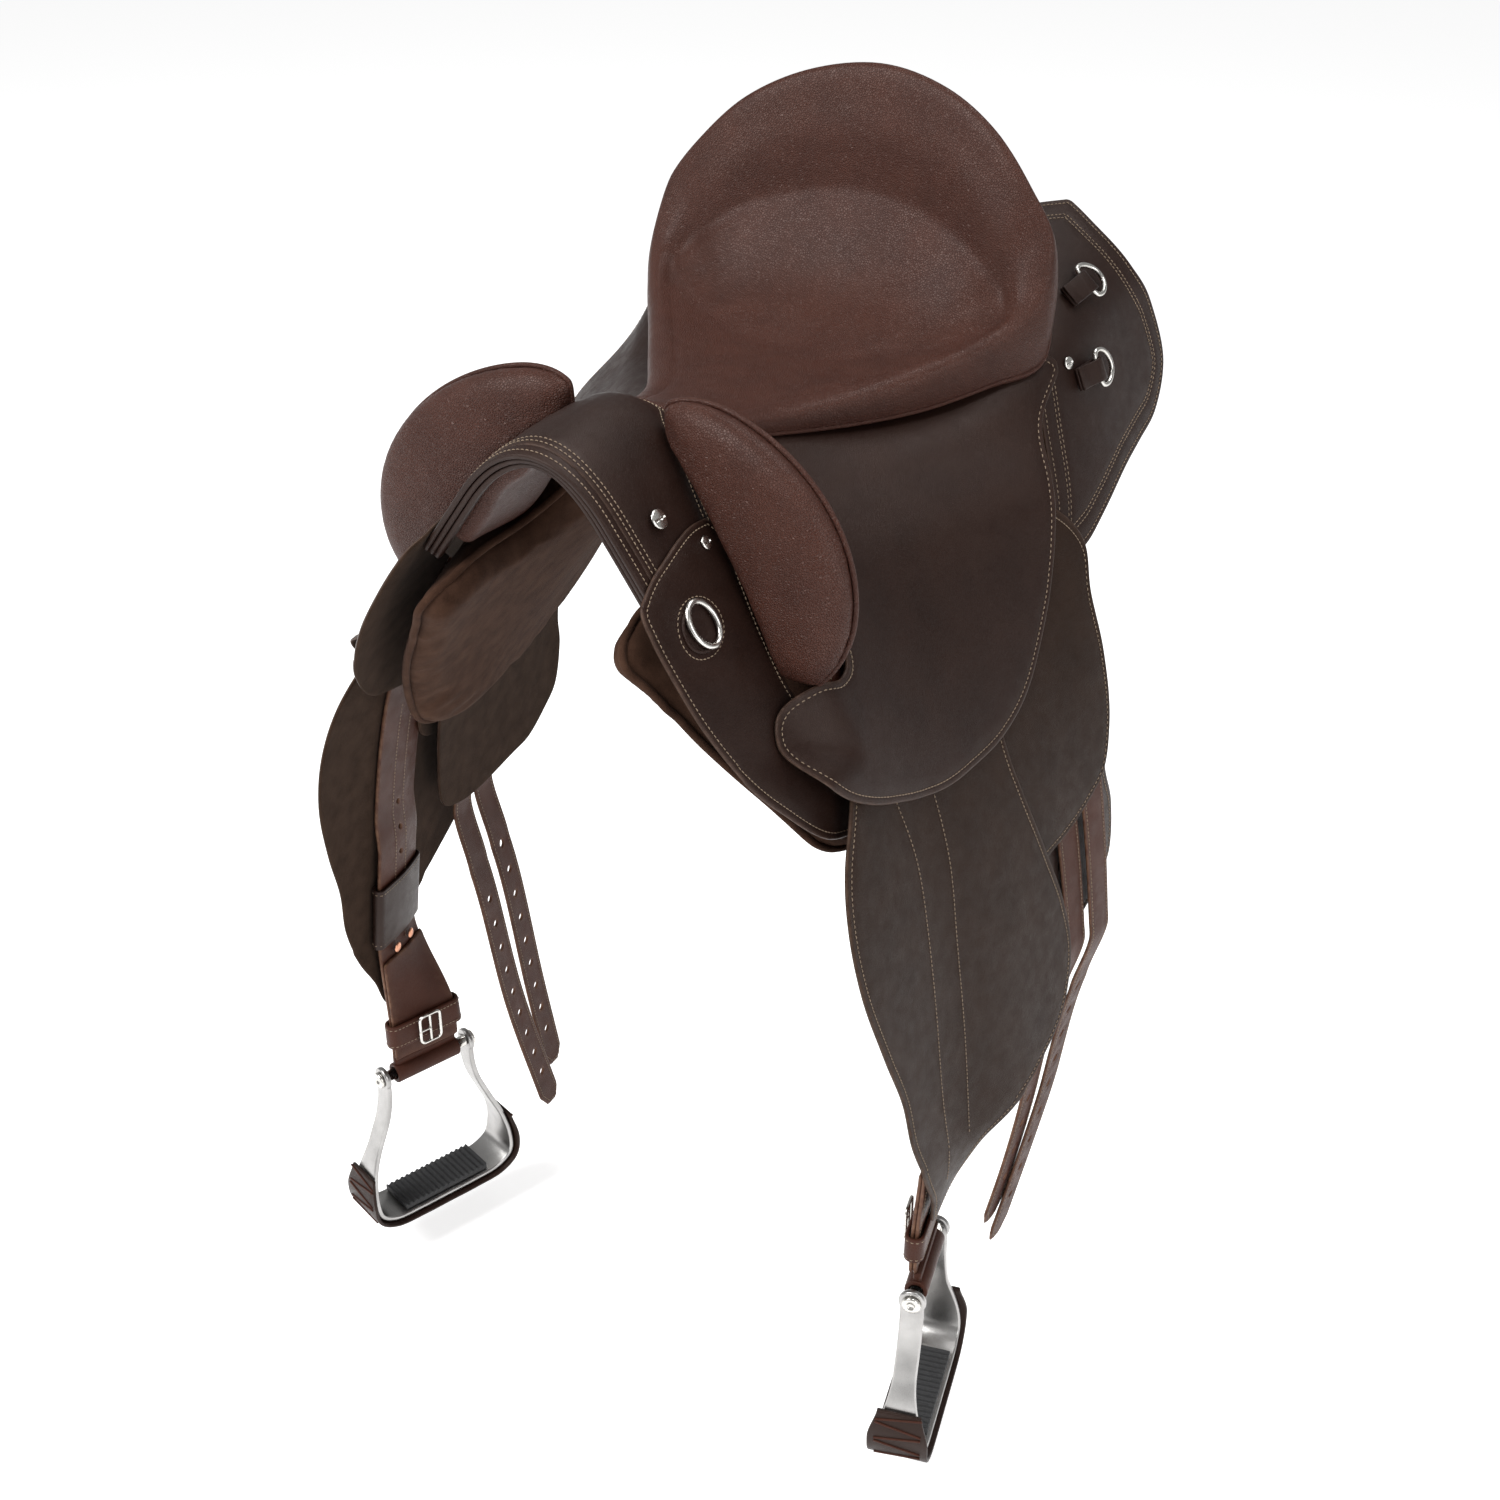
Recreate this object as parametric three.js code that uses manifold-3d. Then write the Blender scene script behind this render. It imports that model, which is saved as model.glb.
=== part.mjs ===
// An Australian stock saddle: a swinging fender saddle with poley knee pads.
// Millimetres. +X is the saddle's left, -Y its front, +Z up. The origin lies on the ridge
// line that the saddle stands over, on the symmetry plane, below the middle of the seat.
import * as THREE from 'three';
import { mergeVertices } from 'three/addons/utils/BufferGeometryUtils.js';
import Module from 'manifold-3d';

const wasm = await Module();
wasm.setup();

// ---- driving dimensions ----
const LEATHER = 3.2; // thickness of flap and skirt leather
const LEVEL = { // distance of each layer's inner face from the tree's outer surface
  panelInner: -38, panelOuter: -13.4, plate: -14, treeInner: -9.2, treeOuter: -1.8, skirt: 0,
  leaf: 4.3, frontBillet: 4.2, rearBillet: 8.8, midFlap: 12.6, stirrupLeather: 17.4, fender: 22.4,
  lobe: 8, jockey: 30,
};
const BILLET = { width: 30, thick: 3, topZ: -190 };
const STRAP = { width: 66, thick: 3.4, y: -118, x: 254, topZ: -56, bottomZ: -556 };
const TOE_OUT_DEG = { left: 14, right: 19 }; // how far each stirrup has turned on its strap
const STIRRUP = {
  boltX: 253, boltY: -118.5, boltZ: -573, eyeHalf: 44, drop: 147,
  barThick: 5, armWidth: 19, treadWidth: 42, eyeRadius: 11, boltRadius: 5,
};
const SHELF_Z = -430; // below this the hanging leathers drop straight down

// ---- the tree's outer surface, from stations along the saddle ----
const HALF_WIDTH = [[-250, 56], [-200, 62], [-120, 58], [-60, 46], [-16, 56], [40, 84], [87, 114],
  [130, 146], [168, 168], [220, 184], [300, 194], [350, 200]];
const FLARE = [[-250, 0.748], [-200, 0.748], [-120, 0.79], [-60, 0.91], [-16, 0.9], [40, 0.81],
  [87, 0.7], [130, 0.58], [168, 0.49], [220, 0.42], [300, 0.38], [350, 0.36]];
const RIDGE_Z = [[-250, 104], [-227, 112], [-150, 117], [-110, 98], [-60, 72], [0, 58], [70, 54],
  [130, 66], [200, 110], [250, 142], [340, 172]];
const SHOULDER_Z = [[-250, 70], [-120, 58], [-60, 36], [0, 24], [70, 24], [130, 40], [200, 66],
  [340, 90]];

/** Smooth curve through [position, value] stations, held flat past its ends. */
function along(stations, at) {
  const last = stations.length - 1;
  const t = THREE.MathUtils.clamp(at, stations[0][0], stations[last][0]);
  let i = 0;
  while (i < last - 1 && t > stations[i + 1][0]) i += 1;
  const slope = (k) => {
    const a = stations[Math.max(k - 1, 0)];
    const b = stations[Math.min(k + 1, last)];
    return (b[1] - a[1]) / (b[0] - a[0]);
  };
  const [x0, y0] = stations[i];
  const [x1, y1] = stations[i + 1];
  const h = x1 - x0;
  const u = (t - x0) / h;
  const ease = u * u * (3 - 2 * u);
  return y0 + (y1 - y0) * ease + h * u * (1 - u) * (slope(i) * (1 - u) - slope(i + 1) * u);
}

const softplus = (v, width) => width * Math.log1p(Math.exp(v / width));
const smooth = (a, b, t) => THREE.MathUtils.smoothstep(t, a, b);

/** How far the flank has spread at height z, from none at z = 70. */
function spread(z) {
  const low = Math.max(z, SHELF_Z);
  return 0.15 * (70 - low) + 0.85 * (softplus(200, 60) - softplus(low + 130, 60));
}
const flankX = (y, z) => along(HALF_WIDTH, y) + along(FLARE, y) * spread(z);

/** Point of the surface: s runs from 0 on the ridge to 1 at the shoulder, then 0.01 per mm down. */
function profile(y, s) {
  const ridge = along(RIDGE_Z, y);
  const shoulder = along(SHOULDER_Z, y);
  const side = Math.abs(s);
  const sign = s < 0 ? -1 : 1;
  if (side > 1) {
    const z = shoulder - 100 * (side - 1);
    return new THREE.Vector3(sign * flankX(y, z), y, z);
  }
  const x = flankX(y, shoulder);
  const lean = flankX(y, shoulder - 0.5) - flankX(y, shoulder + 0.5);
  const corner = Math.max(x - lean * (ridge - shoulder), 0.25 * x);
  const bend = 2 * side * (1 - side) * corner + side * side * x;
  return new THREE.Vector3(sign * bend, y, ridge - (ridge - shoulder) * side * side);
}

/** The s of height z at station y. */
function sAt(y, z) {
  const ridge = along(RIDGE_Z, y);
  const shoulder = along(SHOULDER_Z, y);
  return z >= shoulder ? Math.sqrt(Math.max(ridge - z, 0) / (ridge - shoulder))
    : 1 + (shoulder - z) / 100;
}

/** A point off the surface by a distance along its outward normal. */
function surface(y, s, off) {
  const dy = profile(y + 0.5, s).sub(profile(y - 0.5, s));
  const ds = profile(y, s + 0.01).sub(profile(y, s - 0.01));
  const normal = ds.cross(dy).normalize();
  return profile(y, s).addScaledVector(normal, off);
}

// ---- shaping helpers ----
/** Closed geometry made by moving every vertex of a plain one; its faces end pointing out. */
function bend(source, place) {
  source.deleteAttribute('normal');
  source.deleteAttribute('uv');
  const geometry = mergeVertices(source, 1e-4);
  const position = geometry.attributes.position;
  const point = new THREE.Vector3();
  for (let i = 0; i < position.count; i += 1) {
    point.copy(place(new THREE.Vector3().fromBufferAttribute(position, i)));
    position.setXYZ(i, point.x, point.y, point.z);
  }
  return outward(geometry);
}

function outward(geometry) {
  const p = geometry.attributes.position;
  const index = geometry.index;
  const corner = (i) => new THREE.Vector3().fromBufferAttribute(p, index.getX(i));
  let volume = 0;
  for (let i = 0; i < index.count; i += 3) {
    volume += corner(i).dot(corner(i + 1).cross(corner(i + 2)));
  }
  if (volume < 0) {
    for (let i = 0; i < index.count; i += 3) {
      const keep = index.getX(i);
      index.setX(i, index.getX(i + 1));
      index.setX(i + 1, keep);
    }
  }
  return geometry;
}

/** Value at v in 0..1 along equally weighted rows, curved through them. */
function row(rows, column, v) {
  return along(rows.map((r, i) => [i / (rows.length - 1), r[column]]), v);
}

/** A leather or pad on the surface; rows of [z, front y, rear y] give its outline. */
function layer(rows, inner, thick, cells, shape = surface) {
  const box = new THREE.BoxGeometry(1, 1, 1, cells[0], cells[1], 1);
  return bend(box, (p) => {
    const v = p.y + 0.5;
    const z = row(rows, 0, v);
    const y = THREE.MathUtils.lerp(row(rows, 1, v), row(rows, 2, v), p.x + 0.5);
    const base = typeof inner === 'function' ? inner(y, z) : inner;
    const depth = typeof thick === 'function' ? thick(p.x * 2, p.y * 2) : thick;
    const off = base + (p.z + 0.5) * depth;
    return shape(y, sAt(y, z), off);
  });
}

/** A strip across the ridge between side heights zSide(y), from yFront to yRear. */
function saddleBand(yFront, yRear, zSide, inner, thick, cells) {
  const box = new THREE.BoxGeometry(1, 1, 1, cells[0], cells[1], 1);
  return bend(box, (p) => {
    const y = THREE.MathUtils.lerp(yFront, yRear, p.x + 0.5);
    const s = sAt(y, zSide(y)) * p.y * 2;
    return surface(y, s, inner + (p.z + 0.5) * thick);
  });
}

function toManifold(geometry) {
  geometry.deleteAttribute('normal');
  geometry.deleteAttribute('uv');
  const g = mergeVertices(geometry, 1e-4);
  const vertProperties = new Float32Array(g.attributes.position.array);
  const triVerts = new Uint32Array(g.index.array);
  return new wasm.Manifold(new wasm.Mesh({ numProp: 3, vertProperties, triVerts }));
}

function fromManifold(solid) {
  const mesh = solid.getMesh();
  const geometry = new THREE.BufferGeometry();
  geometry.setAttribute('position', new THREE.BufferAttribute(mesh.vertProperties, 3));
  geometry.setIndex(new THREE.BufferAttribute(mesh.triVerts, 1));
  return geometry;
}

const join = (...parts) => fromManifold(parts.map(toManifold).reduce((a, b) => a.add(b)));
const cut = (a, b) => fromManifold(toManifold(a).subtract(toManifold(b)));

/** A closed bar in the XY plane whose centre line is path(angle). */
function loopBar(path, tube, steps, sides = 6) {
  const ratio = 0.2;
  return bend(new THREE.TorusGeometry(1, ratio, sides, steps), (p) => {
    const angle = Math.atan2(p.y, p.x);
    const centre = path(angle);
    const ahead = path(angle + 0.02).sub(path(angle - 0.02)).normalize();
    const out = (Math.hypot(p.x, p.y) - 1) * (tube / ratio);
    return new THREE.Vector3(centre.x + ahead.y * out, centre.y - ahead.x * out, p.z * tube / ratio);
  });
}

/** Moves a geometry so that its X, Y and Z lie along the given axes at a point. */
function seatAt(geometry, point, xAxis, zAxis) {
  const z = zAxis.clone().normalize();
  const y = new THREE.Vector3().crossVectors(z, xAxis).normalize();
  const x = new THREE.Vector3().crossVectors(y, z);
  geometry.applyMatrix4(new THREE.Matrix4().makeBasis(x, y, z).setPosition(point));
  return geometry;
}

// ---- materials ----
const paint = (color, roughness, metalness = 0) => ({ color, roughness, metalness });
const FINISH = {
  seat: paint(0x5c3a30, 0.5), dark: paint(0x3a2b2a, 0.45), suede: paint(0x4a3026, 0.95),
  strap: paint(0x5a3226, 0.6), nickel: paint(0xc8c8c6, 0.25, 1), alloy: paint(0xb9bcc0, 0.35, 1),
  rubber: paint(0x151515, 0.85), tree: paint(0x7b7a74, 0.6), steel: paint(0x55585c, 0.5, 1),
};
const saddle = new THREE.Group();

function add(name, geometry, finish) {
  const mesh = new THREE.Mesh(geometry, new THREE.MeshStandardMaterial(FINISH[finish]));
  mesh.name = name;
  saddle.add(mesh);
  return mesh;
}

// ---- the saddle's centre ----
function addCentre() {
  const treeSide = (y) => along([[-205, 0], [-120, 8], [0, 8], [120, 12], [228, 66]], y);
  const treeThick = LEVEL.treeOuter - LEVEL.treeInner;
  add('tree', saddleBand(-205, 228, treeSide, LEVEL.treeInner, treeThick, [14, 12]), 'tree');
  add('head_plate', saddleBand(-192, -150, () => 54, LEVEL.plate, 2.4, [3, 12]), 'steel');
  add('pommel_cover', saddleBand(-234, -152, () => 30, LEVEL.skirt, LEATHER, [4, 14]), 'dark');
  add('arch_binding', saddleBand(-246, -235, () => 20, -10, 13.5, [1, 14]), 'dark');
  add('arch_lining', saddleBand(-233, -206, () => 56, -20, 18, [2, 12]), 'dark');
  add('seat', seatGeometry(), 'seat');
}

/** Rim and underside loops of the seat: half loops from the front round to the cantle. */
const SEAT_RIM = [[0, -116, 108], [34, -108, 101], [46, -66, 86], [62, -16, 82], [98, 40, 88],
  [130, 87, 100], [160, 132, 116], [178, 172, 138], [172, 192, 168], [148, 200, 200],
  [112, 212, 234], [62, 226, 258], [0, 234, 268]];
const SEAT_BASE = [[0, -112, 103], [32, -104, 92], [42, -66, 70], [59, -16, 58], [92, 40, 53],
  [122, 87, 54], [152, 132, 63], [175, 170, 71], [166, 204, 97], [147, 224, 115],
  [112, 242, 136], [62, 253, 150], [0, 258, 155]];
const SEAT_LOW = { y: 70, top: 76, under: 60 }; // the seat's lowest point
const BOWL = 2.4; // how steeply the seat dishes up towards its rim

function closedLoop(half) {
  const other = half.slice(1, -1).reverse().map(([x, y, z]) => [-x, y, z]);
  const points = [...half, ...other].map((p) => new THREE.Vector3(...p));
  return new THREE.CatmullRomCurve3(points, true, 'centripetal');
}

function seatGeometry() {
  const rim = closedLoop(SEAT_RIM);
  const base = closedLoop(SEAT_BASE);
  const rings = [0, 0.3, 0.55, 0.75, 0.89, 0.97, 1]; // rows of the dish, from its low point out
  const sphere = new THREE.SphereGeometry(1, 36, 11);
  return bend(sphere, (p) => {
    const turn = (Math.atan2(p.x, -p.z) / (2 * Math.PI) + 1) % 1;
    const crest = rim.getPoint(turn);
    const foot = base.getPoint(turn);
    const ring = Math.round((Math.acos(THREE.MathUtils.clamp(p.y, -1, 1)) / Math.PI) * 11);
    const low = new THREE.Vector3(0, SEAT_LOW.y, SEAT_LOW.top);
    if (ring <= 5) {
      const k = rings[ring];
      const z = SEAT_LOW.top + (crest.z - 6 * k - SEAT_LOW.top) * k ** BOWL;
      return low.lerp(crest, k).setZ(z);
    }
    if (ring === 6) return crest;
    if (ring <= 9) return crest.lerp(foot, (ring - 6) / 3);
    return foot.lerp(new THREE.Vector3(0, SEAT_LOW.y, SEAT_LOW.under), ring === 10 ? 0.4 : 1);
  });
}

// ---- one side, built on the left and mirrored for the right ----
/** Soft edges: a pad's thickness, full in the middle and thin along its outline. */
const pillow = (full, thin) => (a, b) => {
  const edge = Math.max(Math.abs(a), Math.abs(b)) ** 6;
  return full + (thin - full) * edge;
};

function panelGeometry() {
  const topS = [[-250, 1.46], [-200, 1.4], [-150, 1.28], [-110, 0.86], [-60, 0.34], [0, 0.26],
    [100, 0.18], [250, 0.2], [350, 0.34]];
  const bottomZ = [[-259, -32], [-243, -84], [-210, -131], [-150, -180], [-60, -186], [40, -156],
    [140, -92], [230, -50], [310, -14], [350, 10]];
  const front = [[0, -240], [0.15, -258], [0.3, -270], [0.5, -270], [0.75, -246], [1, -176]];
  const rear = [[0, 290], [0.4, 345], [0.8, 352], [1, 320]];
  const full = LEVEL.panelOuter - LEVEL.panelInner;
  const depth = pillow(full, 9);
  return bend(new THREE.BoxGeometry(1, 1, 1, 16, 8, 1), (p) => {
    const v = p.y + 0.5;
    const y = THREE.MathUtils.lerp(along(front, v), along(rear, v), p.x + 0.5);
    const s = THREE.MathUtils.lerp(along(topS, y), sAt(y, along(bottomZ, y)), v);
    return surface(y, s, LEVEL.panelOuter - depth(p.x * 2, p.y * 2) * (0.5 - p.z));
  });
}

function rearSkirtGeometry() {
  const bottomZ = [[122, -72], [190, -50], [275, -13], [330, 14]];
  const rear = [[0, 258], [0.35, 322], [0.6, 341], [0.8, 343], [1, 322]];
  const front = [[0, 176], [0.5, 164], [1, 142]];
  return bend(new THREE.BoxGeometry(1, 1, 1, 8, 9, 1), (p) => {
    const v = p.y + 0.5;
    const y = THREE.MathUtils.lerp(along(front, v), along(rear, v), p.x + 0.5);
    const s = THREE.MathUtils.lerp(0.1, sAt(y, along(bottomZ, y)), v);
    return surface(y, s, LEVEL.skirt + LEATHER * (p.z + 0.5));
  });
}

const FRONT_SKIRT = [[50, -200, -156], [24, -250, -150], [-4, -264, -146], [-46, -266, -144],
  [-98, -246, -142], [-150, -198, -140], [-168, -172, -140]];
const MID_FLAP = [[-6, -60, 84], [-55, -90, 153], [-129, -104, 139], [-192, -104, 133],
  [-245, -90, 95], [-268, -50, 32]];
const UNDER_FLAP = [[6, -70, 100], [-90, -90, 128], [-190, -90, 134], [-240, -84, 139],
  [-271, -78, 146], [-333, -60, 121], [-356, -20, 50]];
const FENDER = [[-46, -126, 20], [-84, -140, 16], [-130, -182, 0], [-190, -214, -1], [-257, -211, 20],
  [-331, -196, 38], [-394, -174, 18], [-446, -156, -74], [-505, -140, -108]];
const JOCKEY = [[46, -118, 178], [8, -122, 139], [-30, -127, 120], [-54, -146, 107],
  [-74, -214, 90], [-102, -208, 64], [-128, -180, 34], [-148, -140, -4], [-160, -100, -50]];
const JOCKEY_RISE = [[-118, 26], [-60, 10], [-16, 5], [87, 0], [168, 14], [190, 18]];

/** The jockey lies on the skirt at its front lobe and on the seat's edge, and over the fender. */
function jockeyLevel(y, z) {
  const over = Math.max(smooth(-205, -160, y), 1 - smooth(-112, -78, z));
  const down = 1 - smooth(8, 52, z);
  const tuck = along([[100, 6], [150, 3.2]], y);
  return LEVEL.lobe + (LEVEL.jockey - LEVEL.lobe) * over * down - tuck * (1 - down);
}

function jockeyGeometry() {
  return bend(new THREE.BoxGeometry(1, 1, 1, 10, 12, 1), (p) => {
    const v = p.y + 0.5;
    const y = THREE.MathUtils.lerp(row(JOCKEY, 1, v), row(JOCKEY, 2, v), p.x + 0.5);
    const z = row(JOCKEY, 0, v) + along(JOCKEY_RISE, y) * Math.max(0, 1 - 5 * v);
    return surface(y, sAt(y, z), jockeyLevel(y, z) + LEATHER * (p.z + 0.5));
  });
}

const UP = new THREE.Vector3(0, 0, 1);
const bolt = { axis: new THREE.Vector3(), across: new THREE.Vector3() };

/** Turns the stirrup bolt: its axis points forward, and across points outward. */
function turnBolt(degrees) {
  const angle = THREE.MathUtils.degToRad(degrees);
  bolt.axis.set(Math.sin(angle), -Math.cos(angle), 0);
  bolt.across.set(Math.cos(angle), Math.sin(angle), 0);
}
const boltCentre = () => new THREE.Vector3(STIRRUP.boltX, STIRRUP.boltY, STIRRUP.boltZ);

/** A point of the hanging leathers, which turn outwards to the front above the stirrup. */
function hanging(y, s, off) {
  const flat = surface(y, s, off);
  const turn = 1 - smooth(-530, -436, flat.z);
  const u = y - STRAP.y;
  const out = off - LEVEL.stirrupLeather;
  const hung = new THREE.Vector3(STRAP.x, STRAP.y, flat.z)
    .addScaledVector(bolt.axis, -u).addScaledVector(bolt.across, out);
  return flat.lerp(hung, turn);
}

/** The strap dips inwards to make room for the sleeve, and is double below it. */
const strapDip = (z) => LEVEL.stirrupLeather - 4.6 * (1 - smooth(-340, -300, z));
const strapDouble = (z) => STRAP.thick * (1 - smooth(-462, -448, z));

function strapBox(halfWidth, zTop, zBottom, level, thick, steps) {
  return bend(new THREE.BoxGeometry(1, 1, 1, 2, steps, 1), (p) => {
    const z = THREE.MathUtils.lerp(zTop, zBottom, p.y + 0.5);
    const y = STRAP.y + p.x * 2 * halfWidth;
    return hanging(y, sAt(y, z), level(z) + (p.z + 0.5) * thick(z));
  });
}

function stirrupLeatherGeometry() {
  const thick = (z) => STRAP.thick + strapDouble(z);
  const level = (z) => strapDip(z) - strapDouble(z);
  const strap = strapBox(STRAP.width / 2, STRAP.topZ, STRAP.bottomZ, level, thick, 22);
  const eye = new THREE.CylinderGeometry(9.5, 9.5, STRAP.width, 16);
  const hole = new THREE.CylinderGeometry(5.6, 5.6, STRAP.width + 10, 16);
  const centre = boltCentre();
  const lug = cut(seatAt(eye.rotateX(Math.PI / 2), centre, UP, bolt.axis),
    seatAt(hole.rotateX(Math.PI / 2), centre, UP, bolt.axis));
  const neck = new THREE.BoxGeometry(16, 7, STRAP.width - 4);
  const neckAt = centre.clone().setZ(STRAP.bottomZ - 1);
  return join(strap, lug, seatAt(neck, neckAt, UP, bolt.axis));
}

/** A flat loop of leather round the strap between two heights. */
function strapLoop(zTop, zBottom, clear, wall, steps) {
  const outer = strapBox(STRAP.width / 2 + clear + wall, zTop, zBottom,
    (z) => strapDip(z) - strapDouble(z) - clear - wall,
    (z) => STRAP.thick + strapDouble(z) + 2 * (clear + wall), steps);
  const inner = strapBox(STRAP.width / 2 + clear, zTop + 1, zBottom - 1,
    (z) => strapDip(z) - strapDouble(z) - clear,
    (z) => STRAP.thick + strapDouble(z) + 2 * clear, steps);
  return cut(outer, inner);
}

/** A bar of flat metal bent in the stirrup's plane, along points [along the bolt, up]. */
function bentBar(points, width, inner, thick, steps) {
  const curve = new THREE.CatmullRomCurve3(points.map(([a, z]) => new THREE.Vector3(a, z, 0)));
  const centre = boltCentre();
  return bend(new THREE.BoxGeometry(1, 1, 1, steps, 1, 1), (p) => {
    const at = curve.getPointAt(p.x + 0.5);
    const ahead = curve.getTangentAt(p.x + 0.5);
    const out = inner + (p.y + 0.5) * thick;
    const a = at.x - ahead.y * out;
    const z = at.y + ahead.x * out;
    const side = p.z * width(at.y);
    return centre.clone().addScaledVector(bolt.axis, a).addScaledVector(UP, z)
      .addScaledVector(bolt.across, side);
  });
}

const ARM = [[44, 4], [44, -18], [48, -40], [58, -66], [69, -94], [73, -118], [70, -136],
  [56, -145], [28, -147], [0, -147]];
const BOW = [...ARM, ...ARM.slice(0, -1).reverse().map(([a, z]) => [-a, z])];
const armWidth = (z) => STIRRUP.armWidth
  + (STIRRUP.treadWidth - STIRRUP.armWidth) * (1 - smooth(-136, -66, z));

function stirrupIronGeometry() {
  const half = STIRRUP.barThick / 2;
  const bow = bentBar(BOW, armWidth, -half, STIRRUP.barThick, 40);
  const centre = boltCentre();
  const eyes = [1, -1].map((end) => {
    const disc = new THREE.CylinderGeometry(STIRRUP.eyeRadius, STIRRUP.eyeRadius,
      STIRRUP.barThick, 20).rotateX(Math.PI / 2);
    const at = centre.clone().addScaledVector(bolt.axis, end * STIRRUP.eyeHalf);
    return seatAt(disc, at, UP, bolt.axis);
  });
  const drill = new THREE.CylinderGeometry(5.4, 5.4, 110, 16).rotateX(Math.PI / 2);
  return cut(join(bow, ...eyes), seatAt(drill, centre, UP, bolt.axis));
}

function boltGeometry() {
  const r = STIRRUP.boltRadius;
  const end = STIRRUP.eyeHalf + STIRRUP.barThick / 2 + 0.4;
  const profile = [[0, -end - 3], [7, -end - 3], [7.5, -end], [r, -end], [r, end], [7.5, end],
    [7, end + 3], [0, end + 3]].map(([x, y]) => new THREE.Vector2(x, y));
  const turned = new THREE.LatheGeometry(profile, 14).rotateX(Math.PI / 2);
  return bend(seatAt(turned, boltCentre(), UP, bolt.axis), (p) => p);
}

function treadPadGeometry() {
  const pad = new THREE.BoxGeometry(7, STIRRUP.treadWidth - 6, 88);
  const at = boltCentre().addScaledVector(UP, -STIRRUP.drop + STIRRUP.barThick / 2 + 4.3);
  return bend(seatAt(pad, at, UP, bolt.axis), (p) => p);
}

/** A knee pad: a half moon standing off the saddle, its root on the skirt. */
const KNEE = { top: [36, -142, 117], bottom: [171, -172, -50], height: 84, thick: 32, root: 8 };

function kneePadGeometry() {
  const top = new THREE.Vector3(...KNEE.top);
  const bottom = new THREE.Vector3(...KNEE.bottom);
  const chord = bottom.clone().sub(top).normalize();
  const out = new THREE.Vector3(-chord.z, 0, chord.x).normalize();
  const face = new THREE.Vector3().crossVectors(chord, out).normalize();
  const middle = top.clone().lerp(bottom, 0.5).addScaledVector(out, KNEE.height * 0.4);
  const outline = (turn) => {
    const line = top.clone().lerp(bottom, 0.5 - 0.5 * Math.cos(turn));
    const low = 0.5 + 0.5 * Math.cos(turn);
    const height = KNEE.height * Math.sin(turn) * (1 - 0.3 * low * low);
    if (turn > 0) return line.addScaledVector(out, height);
    return surface(line.y, sAt(line.y, Math.min(line.z, 98)), KNEE.root);
  };
  return bend(new THREE.SphereGeometry(1, 26, 10), (p) => {
    const wide = Math.sqrt(Math.hypot(p.x, p.z));
    const edge = outline(Math.atan2(p.z, p.x));
    return middle.clone().lerp(edge, wide).addScaledVector(face, p.y * KNEE.thick / 2);
  });
}

/** Centre lines of the billets: stations of [z, y] and of [z, how far the strap curls in]. */
const BILLET_LINE = {
  left: { front: [[-662, 44], [-600, 62], [-525, 74], [-330, 72], [-100, 68], [10, 75]],
    rear: [[-690, 55], [-600, 84], [-525, 104], [-330, 104], [-100, 102], [10, 106]] },
  right: { front: [[-722, 36], [-560, 2], [-400, -10], [-310, -10], [-100, 0], [10, 6]],
    rear: [[-690, 56], [-560, 44], [-400, 34], [-330, 32], [-100, 40], [10, 46]] },
};
const CURL = [[-720, 58], [-600, 44], [-480, 31], [-425, 20], [-372, 1], [-350, 0]];

function billetGeometry(line, level) {
  const zTop = BILLET.topZ;
  const zBottom = line[0][0];
  return bend(new THREE.BoxGeometry(1, 1, 1, 2, 18, 1), (p) => {
    const z = THREE.MathUtils.lerp(zTop, zBottom, p.y + 0.5);
    const tip = 1 - 0.55 * (1 - smooth(zBottom, zBottom + 14, z));
    const y = along(line, z) + p.x * BILLET.width * tip;
    const point = surface(y, sAt(y, z), level + (p.z + 0.5) * BILLET.thick);
    point.x -= along(CURL, z);
    return point;
  });
}

function ringPath(halfWide, halfLong) {
  return (a) => new THREE.Vector3(halfLong * Math.cos(a), halfWide * Math.sin(a), 0);
}

/** A D outline: a straight bar at x = 0 and a bow that reaches out along +X. */
function deePath(half, reach) {
  const quarter = [[1, 0], [0.93, 0.42], [0.7, 0.8], [0.38, 1], [0.1, 0.94], [0, 0.7]];
  const place = ([x, y]) => new THREE.Vector3(reach * x, half * y, 0);
  const other = quarter.slice(1).reverse().map(([x, y]) => [x, -y]);
  const points = [...quarter, [0, 0], ...other].map(place);
  const curve = new THREE.CatmullRomCurve3(points, true, 'centripetal');
  return (angle) => curve.getPointAt((angle / (2 * Math.PI) + 1) % 1);
}

/** Point, downhill and outward directions of the surface at a station. */
function frameAt(y, z, off) {
  const s = sAt(y, z);
  const point = surface(y, s, off);
  const out = surface(y, s, off + 1).sub(point).normalize();
  const down = surface(y, s + 0.02, off).sub(point).normalize();
  const back = new THREE.Vector3().crossVectors(out, down).normalize();
  return { point, out, down, back };
}

function screwGeometry(y, z, off, radius) {
  const profile = [[0, 0], [radius, 0], [radius, 0.8], [radius * 0.7, 1.9], [0, 2.3]]
    .map(([x, h]) => new THREE.Vector2(x, h));
  const { point, out, down } = frameAt(y, z, off);
  const turned = new THREE.LatheGeometry(profile, 14).rotateX(Math.PI / 2);
  return bend(seatAt(turned, point, down, out), (p) => p);
}

const DEE = { half: 14, reach: 19, tube: 2, lift: 9.2 };

function deeGeometry(y, z) {
  const { point, out, back } = frameAt(y, z, DEE.lift);
  return bend(seatAt(loopBar(deePath(DEE.half, DEE.reach), DEE.tube, 20, 5), point, back, out),
    (p) => p);
}

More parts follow.
